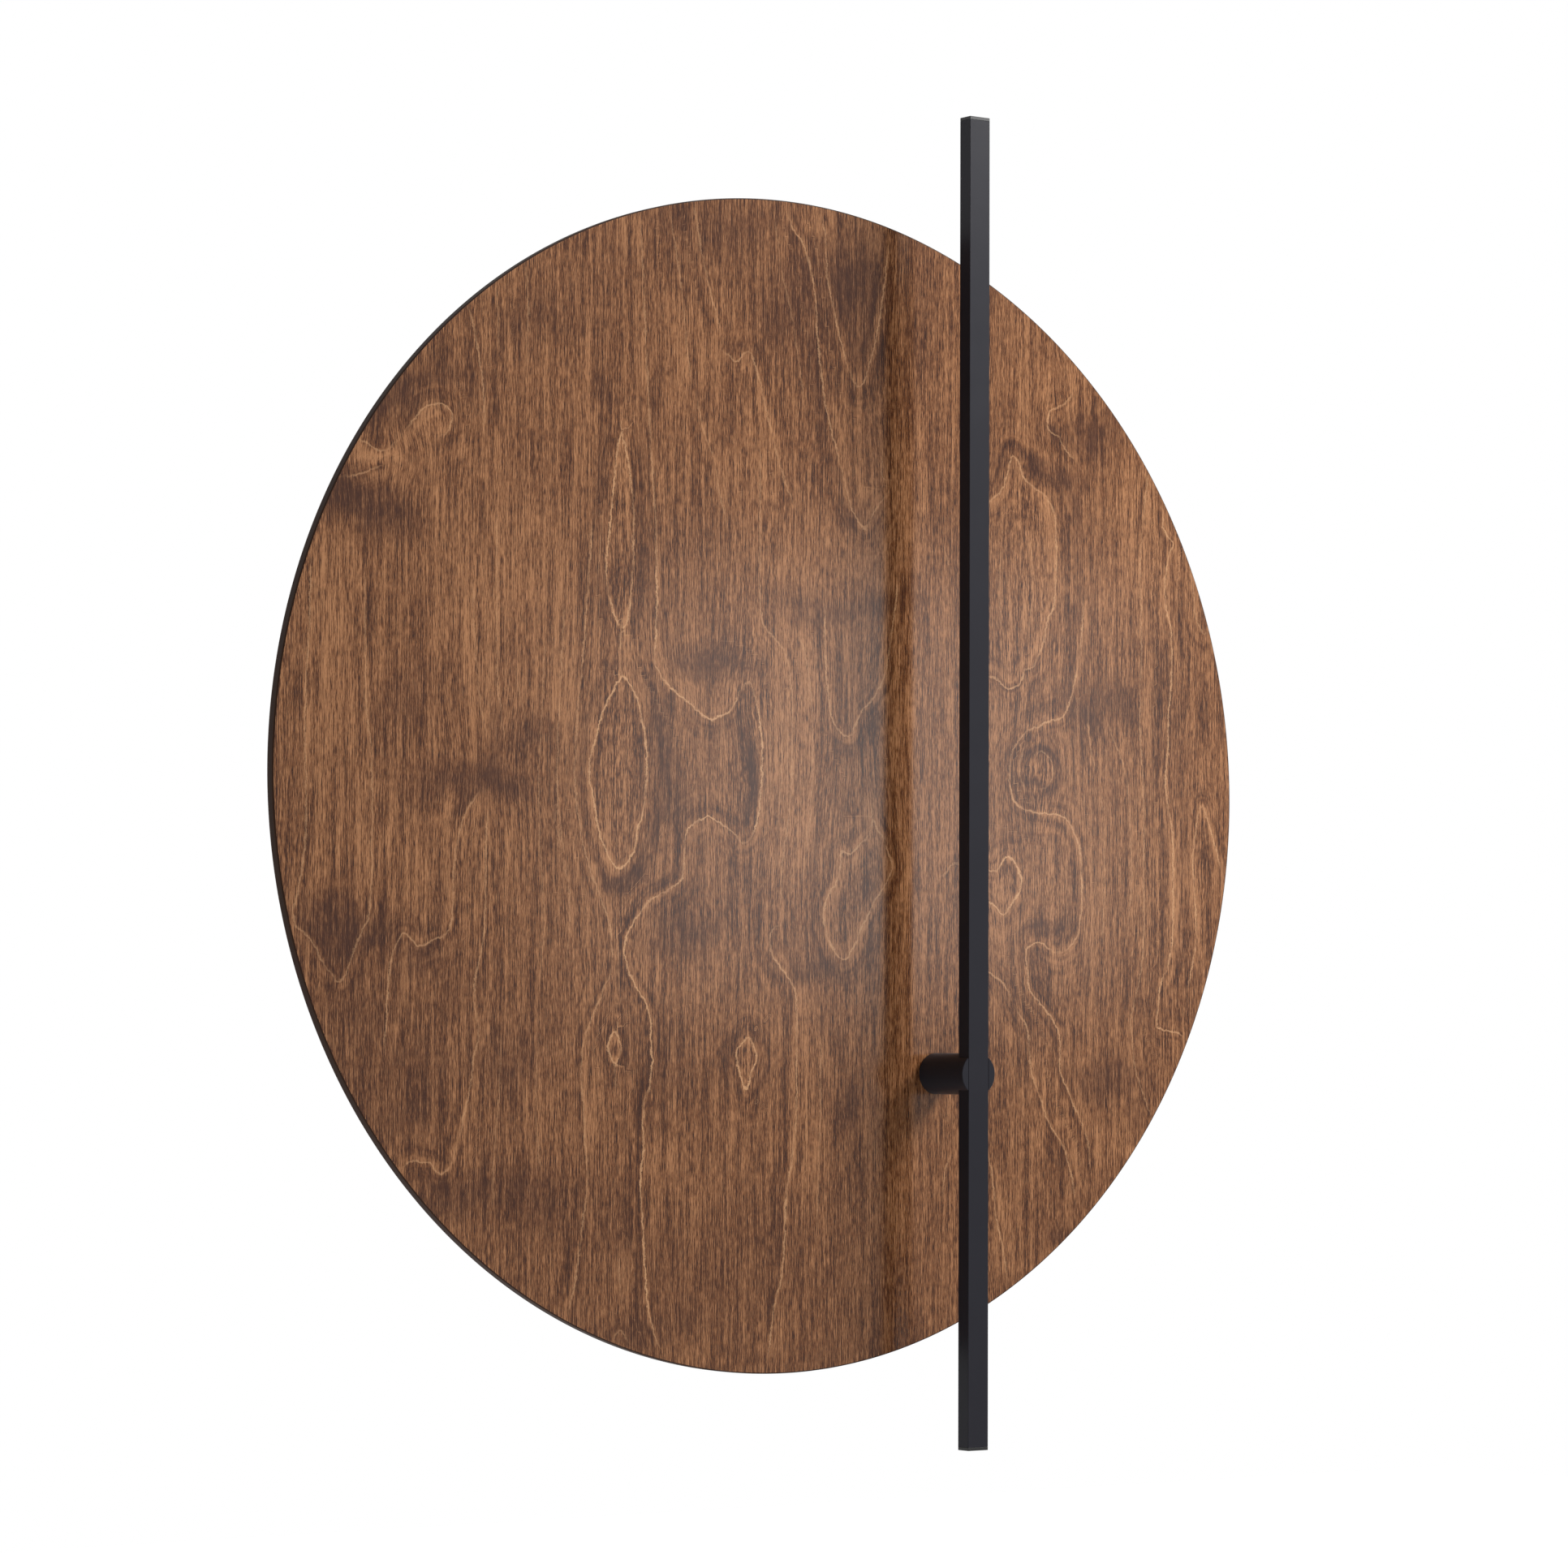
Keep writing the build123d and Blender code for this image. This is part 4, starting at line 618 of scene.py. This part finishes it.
PLIES = 3
EDGE_DARK = (0.016, 0.007, 0.004)
EDGE_PALE = (0.065, 0.027, 0.013)
CORE_STAIN = (0.030, 0.014, 0.009)
GLUE_STAIN = (0.008, 0.004, 0.003)


def ply_edge():
    """The three plies at the disc's edge, stained almost black at the glue lines."""
    finish = Finish("plywood_edge")
    across, depth, up = finish.millimetres()
    low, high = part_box("disc_panel")
    ply = (high.y - low.y) / PLIES / MM
    level = (depth - low.y / MM) * (1 / ply)
    glue = abs(level.math("FRACT") - 0.5).step_up(0.42, 0.49)
    core = abs(level - 1.5).step_down(0.45, 0.55)
    fibre = finish.noise(finish.vector(across * 0.35, depth * 2.0, up * 0.35), 1.0, 4.0, 0.7)
    pits = finish.noise(finish.vector(across * 1.5, depth * 1.5, up * 1.5), 1.0, 2.0, 0.6)
    base = finish.mix(fibre, colour(*EDGE_DARK), colour(*EDGE_PALE))
    base = finish.mix(core * 0.5, base, colour(*CORE_STAIN))
    base = finish.mix(glue * 0.6, base, colour(*GLUE_STAIN))
    finish.set(Base_Color=base, Roughness=0.45 + fibre * 0.2, Specular_IOR_Level=0.12)
    finish.bump(fibre + pits, 0.25, 0.0002)
    return finish.material


# ---- Other finishes ------------------------------------------------------------------------
def plain(name, base, roughness, metallic=0.0, grain=900.0, depth=0.15, spread=0.06, **more):
    """A finish with a fine grain in its colour, roughness and surface."""
    finish = Finish(name)
    fine = finish.noise(finish.point(), grain, 3.0, 0.6, seed=1.0)
    broad = finish.noise(finish.point(), grain / 40.0, 3.0, 0.5, seed=2.0)
    shade = 1.0 + (fine - 0.5) * spread + (broad - 0.5) * spread
    grey = finish.vector(shade, shade, shade)
    finish.set(Base_Color=finish.mix(1.0, colour(*base), grey, "MULTIPLY"))
    finish.set(Roughness=(roughness + (fine - 0.5) * 0.10 + (broad - 0.5) * 0.08).clamped())
    finish.set(Metallic=metallic, **more)
    finish.bump(fine, depth, 0.00002)
    return finish.material


def insulation(name, first, second):
    """Two wire colours, one for each separate wire of a pair."""
    finish = Finish(name)
    which = finish.node("ShaderNodeNewGeometry", output="Random Per Island").step_up(0.49, 0.51)
    fine = finish.noise(finish.point(), 400.0, 2.0)
    base = finish.mix(which, colour(*first), colour(*second))
    finish.set(Base_Color=finish.mix(fine * 0.15, base, colour(0.02, 0.02, 0.02)))
    finish.set(Roughness=0.32 + fine * 0.08)
    return finish.material


# One maker for each material slot of the record.
MAKERS = {
    "stained_plywood": stained_plywood,
    "black_painted_steel": lambda: plain(
        "powder_coat", (0.022, 0.022, 0.023), 0.52, grain=1400.0, depth=0.5
    ),
    "zinc_steel": lambda: plain(
        "bright_zinc", (0.60, 0.61, 0.63), 0.28, metallic=1.0, grain=500.0, depth=0.1
    ),
    "black_rubber": lambda: plain(
        "black_rubber", (0.02, 0.02, 0.02), 0.75, grain=700.0, depth=0.3
    ),
    "white_plastic": lambda: plain(
        "white_plastic", (0.78, 0.78, 0.75), 0.42, grain=1200.0, depth=0.3
    ),
    "tinned_brass": lambda: plain(
        "bright_brass", (0.72, 0.56, 0.27), 0.25, metallic=1.0, grain=500.0, depth=0.1
    ),
    "supply_insulation": lambda: insulation(
        "supply_wire", (0.16, 0.07, 0.03), (0.03, 0.12, 0.45)
    ),
    "earth_insulation": lambda: plain("earth_wire", (0.28, 0.55, 0.06), 0.35),
    "lead_core_insulation": lambda: insulation(
        "core_wire", (0.45, 0.02, 0.02), (0.02, 0.02, 0.02)
    ),
    "black_pvc": lambda: plain("black_pvc", (0.018, 0.018, 0.018), 0.40),
    "black_nylon": lambda: plain("black_nylon", (0.02, 0.02, 0.02), 0.45),
    "black_anodised_aluminium": lambda: plain(
        "black_anodising", settings().anodising, 0.36, grain=1600.0, depth=0.12, spread=0.10,
        Specular_IOR_Level=0.15,
    ),
    "raw_aluminium": lambda: plain(
        "milled_aluminium", (0.76, 0.77, 0.79), 0.35, metallic=1.0, grain=300.0, depth=0.2
    ),
    "opal_diffuser": lambda: plain(
        "opal_plastic", (0.80, 0.79, 0.76), 0.38, grain=800.0, depth=0.1, spread=0.02
    ),
    "white_circuit_board": lambda: plain("white_mask", (0.80, 0.81, 0.80), 0.30),
    "led_phosphor": lambda: plain("led_phosphor", (0.85, 0.62, 0.12), 0.30),
    "black_end_cap": lambda: plain(
        "end_cap_plastic", (0.012, 0.012, 0.012), 0.42, grain=900.0, depth=0.2
    ),
}
FINISHES = {}


def finish_of(slot):
    """The material of a slot, made once."""
    if slot not in FINISHES:
        FINISHES[slot] = MAKERS[slot]()
    return FINISHES[slot]


def dress(*names):
    """Gives CAD nodes the finish of their slot in the record."""
    slots = {entry["node"]: entry["material_slot"] for entry in frame["record"]["subparts"]}
    for name in names:
        mesh = NODES[name].data
        mesh.materials.clear()
        mesh.materials.append(finish_of(slots[name]))


def new_object(name, shape):
    """A new object in the scene from a finished shape."""
    mesh = bpy.data.meshes.new(name)
    shape.to_mesh(mesh)
    shape.free()
    made = bpy.data.objects.new(name, mesh)
    bpy.context.scene.collection.objects.link(made)
    return made


# ---- Settings ------------------------------------------------------------------------------
def length(name, description, default):
    """A setting in metres."""
    return bpy.props.FloatProperty(
        name=name, description=description, default=default, unit="LENGTH", precision=4
    )


def angle(name, description, degrees):
    """A setting in radians, given in degrees."""
    return bpy.props.FloatProperty(
        name=name, description=description, default=math.radians(degrees), subtype="ANGLE"
    )


def tint(name, description, *default):
    """A colour setting."""
    return bpy.props.FloatVectorProperty(
        name=name, description=description, default=default, subtype="COLOR", min=0.0, max=1.0
    )


def power(name, description, default):
    """A light's power in watts."""
    return bpy.props.FloatProperty(
        name=name, description=description, default=default, unit="POWER"
    )


class LampSettings(bpy.types.PropertyGroup):
    """The lamp's sizes, colours, lights and camera"""

    edge_round: length("Edge round", "Radius of the disc's edges", 0.0007)
    bush_hole: length("Bush hole", "Diameter of the hole for the swivel bush", 0.0142)
    stain_dark: tint("Dark stain", "Colour of the darkest wood", 0.040, 0.0125, 0.0055)
    stain_middle: tint("Middle stain", "Colour of the middle wood", 0.148, 0.0535, 0.0188)
    stain_light: tint("Light stain", "Colour of the lightest wood", 0.375, 0.176, 0.078)
    stain_line: tint("Growth lines", "Colour of the growth lines", 0.52, 0.285, 0.14)
    anodising: tint("Anodising", "Colour of the post and the bar", 0.0185, 0.0181, 0.0235)
    floor_height: length("Floor", "Height of the floor", -1.3)
    key_power: power("Key light", "Power of the large softbox", 92.0)
    strip_power: power("Strip light", "Power of the softbox mirrored in the lacquer", 1.20)
    azimuth: angle("Azimuth", "Camera's turn to the right of the disc's axis", -35.73)
    elevation: angle("Elevation", "Camera's height angle", -2.76)
    roll: angle("Roll", "Camera's roll", 0.188)
    distance: length("Distance", "Camera to the front of the disc", 3.1455)
    aim_offset: length("Aim", "Camera's shift to the right of the disc's axis", 0.001)
    lens: bpy.props.FloatProperty(
        name="Lens", description="Camera's focal length", default=121.17, unit="CAMERA"
    )


def settings():
    """The lamp's settings in this scene."""
    return bpy.context.scene.lamp_settings


def chosen(key):
    """A colour of the settings, ready for a node."""
    return (*getattr(settings(), key), 1.0)


class Builder(bpy.types.Operator):
    """Base of the lamp's operators"""

    bl_idname = "lamp.base"
    bl_label = "Lamp piece"

    def execute(self, context):
        self.make()
        return {"FINISHED"}


def on_rim(spot, out, back):
    """The point moved to a distance from the disc's axis, and to a depth."""
    flat = Vector((spot.x, 0, spot.z)).normalized() * out
    return Vector((flat.x, back, flat.z))


def outline(shape):
    """The shape's open edges."""
    return [edge for edge in shape.edges if edge.is_boundary]


def extrude(shape, edges, move):
    """Draws a ring of edges out into the disc's edge, and gives the new ring."""
    ring = []
    for item in bmesh.ops.extrude_edge_only(shape, edges=edges)["geom"]:
        if isinstance(item, bmesh.types.BMVert):
            item.co = move(item.co)
        elif isinstance(item, bmesh.types.BMFace):
            item.smooth = True
            item.material_index = EDGE_SLOT
        else:
            ring.append(item)
    return ring


# The face's cells from side to side. The figure needs them small.
FULL_CELLS = 288
ROUND_STEPS = 4
HOLE_POINTS = 48
HOLE_MARGIN = 2.5  # cells left out round the hole, to be filled with faces that fit it
EDGE_SLOT = 1


class LAMP_OT_disc(Builder):
    """Make the plywood disc, with the figure of its veneer"""

    bl_idname = "lamp.disc"
    bl_label = "Disc"

    def make(self):
        low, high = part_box("disc_panel")
        radius = min(-low.x, high.x, -low.z, high.z)
        shape = bmesh.new()
        rim = self.round_face(shape, radius - settings().edge_round, low.y)
        hole = self.cut_hole(shape, radius - settings().edge_round, low.y, rim)
        for out, back in self.edge_profile(radius, high.y - low.y):
            rim = extrude(shape, rim, lambda spot: on_rim(spot, out, low.y + back))
        hole = extrude(shape, hole, lambda spot: Vector((spot.x, high.y, spot.z)))
        bmesh.ops.triangle_fill(shape, use_beauty=False, edges=rim + hole)
        bmesh.ops.recalc_face_normals(shape, faces=shape.faces[:])
        disc = new_object("plywood_disc", shape)
        self.lay_figure(disc.data)
        disc.data.materials.append(finish_of("stained_plywood"))
        disc.data.materials.append(ply_edge())
        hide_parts("disc_panel")
        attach(disc, "wall_side")

    def round_face(self, shape, radius, front):
        """A square grid pressed into a round face, and its open edges."""
        cells = FULL_CELLS
        grid = bmesh.ops.create_grid(shape, x_segments=cells, y_segments=cells, size=1.0)
        for point in grid["verts"]:
            u, v = point.co.x, point.co.y
            point.co = Vector((u * math.sqrt(1 - v * v / 2), 0, v * math.sqrt(1 - u * u / 2)))
            point.co *= radius
            point.co.y = front
        if shape.faces[:][0].normal.y > 0:
            bmesh.ops.reverse_faces(shape, faces=shape.faces[:])
        return outline(shape)

    def cut_hole(self, shape, radius, front, rim):
        """Cuts the hole for the swivel bush, and gives its edges."""
        cells = FULL_CELLS
        low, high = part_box("swivel_bush")
        middle = Vector((low.x + high.x, 2 * front, low.z + high.z)) / 2
        bore = settings().bush_hole / 2
        wide = bore + radius * HOLE_MARGIN / cells
        near = [f for f in shape.faces if (f.calc_center_median() - middle).length < wide]
        bmesh.ops.delete(shape, geom=near, context="FACES")
        kept = set(rim)
        ragged = [edge for edge in outline(shape) if edge not in kept]
        lip = bmesh.ops.create_circle(shape, segments=HOLE_POINTS, radius=bore)["verts"]
        for point in lip:
            point.co = middle + Vector((point.co.x, 0, point.co.y))
        hole = list(dict.fromkeys(edge for point in lip for edge in point.link_edges))
        bmesh.ops.triangle_fill(shape, use_beauty=True, edges=ragged + hole)
        return hole

    def edge_profile(self, radius, depth):
        """The edge's corners from front to back: how far out, and how far behind the face."""
        round_off = settings().edge_round
        bends = [math.pi / 2 * step / ROUND_STEPS for step in range(1, ROUND_STEPS + 1)]
        front = [
            (radius - round_off + round_off * math.sin(a), round_off - round_off * math.cos(a))
            for a in bends
        ]
        glue_lines = [(radius, depth / PLIES), (radius, depth * 2 / PLIES)]
        rear = [(out, depth - back) for out, back in reversed(front)]
        return front + glue_lines + rear + [(radius - round_off, depth)]

    def lay_figure(self, mesh):
        """Keeps the figure at the mesh's points, for the face's material."""
        points = numpy.zeros(len(mesh.vertices) * 3)
        mesh.vertices.foreach_get("co", points)
        points = points.reshape(-1, 3) / MM
        across, up = points[:, 0], points[:, 2]
        nearest, shows = draw_figure(GROWTH_LINES, across, up)
        parting = part_grain(across, up)
        # the darker wood, and the painted shade at the face's top, bottom and lower left
        dark = blurs(DARK_WOOD_AND_SHADE_PATCHES, across, up)
        pale = blurs(PALE_PATCHES, across, up)
        bands = draw_bands(across, up)
        behind = points[:, 1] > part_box("disc_panel")[0].y / MM + FACE_DEPTH
        for values, level in ((nearest, REACH), (shows, 0), (dark, 0), (pale, 0), (bands, 0)):
            values[behind] = level
        for name, columns in (
            ("figure", (nearest, shows, parting)),
            ("patches", (dark, pale, bands)),
        ):
            layer = mesh.attributes.new(name, "FLOAT_VECTOR", "POINT")
            layer.data.foreach_set("vector", numpy.stack(columns, 1).ravel())


class LAMP_OT_bar(Builder):
    """Finish the post and the light bar"""

    bl_idname = "lamp.bar"
    bl_label = "Bar and post"

    def make(self):
        dress("post", "post_screws", "bar_profile", "bar_fixing_block", "top_end_cap")
        dress("bottom_end_cap", "upper_diffuser", "lower_diffuser")
        dress("upper_led_board", "lower_led_board", "upper_led_chips", "lower_led_chips")
        dress("upper_bar_wires", "lower_bar_wires")


class LAMP_OT_swivel(Builder):
    """Finish the swivel's pieces"""

    bl_idname = "lamp.swivel"
    bl_label = "Swivel"

    def make(self):
        dress("swivel_bush", "slip_ring", "stop_pin", "hollow_nipple", "stop_washer")
        dress("spring_washer", "lock_nuts")


class LAMP_OT_canopy(Builder):
    """Finish the canopy, its driver and its wiring"""

    bl_idname = "lamp.canopy"
    bl_label = "Canopy"

    def make(self):
        dress("canopy_cup", "cup_screws", "wall_plate", "canopy_side_screws")
        dress("mains_cable_grommet", "lead_grommet", "led_driver", "driver_screws")
        dress("terminal_block", "terminal_screws", "terminal_fixing_screw", "earth_terminal")
        dress("earth_screw", "supply_wires", "earth_wire", "lamp_lead", "lead_clips")
        dress("clip_screws")


def towards(turn, tilt):
    """The direction turned right of the disc's axis and tilted up, out into the room."""
    level = math.cos(tilt)
    return Vector((math.sin(turn) * level, -math.cos(turn) * level, math.sin(tilt)))


# How bright the room is all round, and how much more at the right and behind the wall.
ROOM_LIGHT = 0.22
ROOM_RIGHT = 0.08
ROOM_BACK = 0.5
FLOOR_HALF = 8.0
FLOOR_GLOW = 0.8


class LAMP_OT_stage(Builder):
    """Make the floor, the lights and the camera"""

    bl_idname = "lamp.stage"
    bl_label = "Stage"

    def make(self):
        scene = bpy.context.scene
        scene.view_settings.view_transform = "Standard"
        scene.view_settings.look = "None"
        self.surround(scene)
        self.lights()
        self.floor(settings().floor_height)
        self.camera(scene)

    def surround(self, scene):
        """A white backdrop, and room light that is brighter at the right and the back."""
        surround = Surround("studio")
        direction = surround.node("ShaderNodeTexCoord", output="Generated")
        right, back, _ = surround.parts(direction)
        room = ROOM_LIGHT + right.step_up(-0.75, 0.65) * ROOM_RIGHT
        room = room + back.step_up(0.05, 0.4) * ROOM_BACK
        seen = surround.node("ShaderNodeLightPath", output="Is Camera Ray")
        surround.set(Strength=room.most(seen))
        surround.set(Color=colour(1.0, 1.0, 1.0))
        scene.world = surround.world

    def lights(self):
        """A large key light, and the low light that the lacquer mirrors."""
        self.softbox(
            "key_softbox", turn=50.5, tilt=35.0, distance=2.5, width=1.1, height=0.8,
            watts=settings().key_power,
        )
        self.softbox(
            "strip_softbox", turn=37.5, tilt=2.8, distance=3.0, width=0.60, height=0.50,
            watts=settings().strip_power,
        )

    def softbox(self, name, turn, tilt, distance, width, height, watts):
        """A softbox at an angle right of and above the disc's axis, facing the disc."""
        light = bpy.data.lights.new(name, "AREA")
        light.shape = "RECTANGLE"
        light.size, light.size_y, light.energy = width, height, watts
        lamp = bpy.data.objects.new(name, light)
        bpy.context.scene.collection.objects.link(lamp)
        away = towards(math.radians(turn), math.radians(tilt))
        lamp.location = away * distance
        lamp.rotation_euler = away.to_track_quat("Z", "Y").to_euler()

    def floor(self, height):
        """A white floor that glows for the camera, and ten times less for other rays."""
        shape = bmesh.new()
        bmesh.ops.create_grid(shape, x_segments=1, y_segments=1, size=FLOOR_HALF)
        floor = new_object("floor", shape)
        floor.location.z = height
        finish = Finish("floor_paint")
        speck = finish.noise(finish.point(), 3.0, 2.0)
        finish.set(Base_Color=finish.mix(speck, colour(0.97, 0.97, 0.97), colour(1, 1, 1)))
        finish.set(Roughness=0.9, Specular_IOR_Level=0.0)
        seen = finish.node("ShaderNodeLightPath", output="Is Camera Ray")
        finish.set(Emission_Color=finish.mix(seen, colour(0.1, 0.1, 0.1), colour(1, 1, 1)))
        finish.set(Emission_Strength=FLOOR_GLOW)
        floor.data.materials.append(finish.material)

    def camera(self, scene):
        """The camera, in front of the disc and turned to its left."""
        data = bpy.data.cameras.new("camera")
        data.lens = settings().lens
        camera = bpy.data.objects.new("camera", data)
        scene.collection.objects.link(camera)
        turn = settings().azimuth
        back = towards(turn, settings().elevation)
        right = Vector((math.cos(turn), math.sin(turn), 0.0))
        disc_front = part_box("disc_panel")[0].y
        centre = Vector((0.0, disc_front, 0.0))
        camera.location = centre + back * settings().distance + right * settings().aim_offset
        camera.rotation_mode = "QUATERNION"
        look = (-back).to_track_quat("-Z", "Y")
        camera.rotation_quaternion = look @ Quaternion((0, 0, 1), settings().roll)
        scene.camera = camera


class LAMP_PT_panel(bpy.types.Panel):
    """Lists the lamp's settings and steps"""

    bl_idname = "LAMP_PT_panel"
    bl_label = "Wall lamp"
    bl_space_type = "VIEW_3D"
    bl_region_type = "UI"
    bl_category = "Wall lamp"

    def draw(self, context):
        for key in LampSettings.__annotations__:
            self.layout.prop(context.scene.lamp_settings, key)
        for step in STEPS:
            self.layout.operator(step.bl_idname)


STEPS = (LAMP_OT_disc, LAMP_OT_bar, LAMP_OT_swivel, LAMP_OT_canopy, LAMP_OT_stage)
CLASSES = (LampSettings, *STEPS, LAMP_PT_panel)


def register():
    for item in CLASSES:
        bpy.utils.register_class(item)
    bpy.types.Scene.lamp_settings = bpy.props.PointerProperty(type=LampSettings)


def unregister():
    del bpy.types.Scene.lamp_settings
    for item in reversed(CLASSES):
        bpy.utils.unregister_class(item)


def main():
    register()
    for step in STEPS:
        group, name = step.bl_idname.split(".")
        getattr(getattr(bpy.ops, group), name)()


if __name__ == "__main__":
    main()
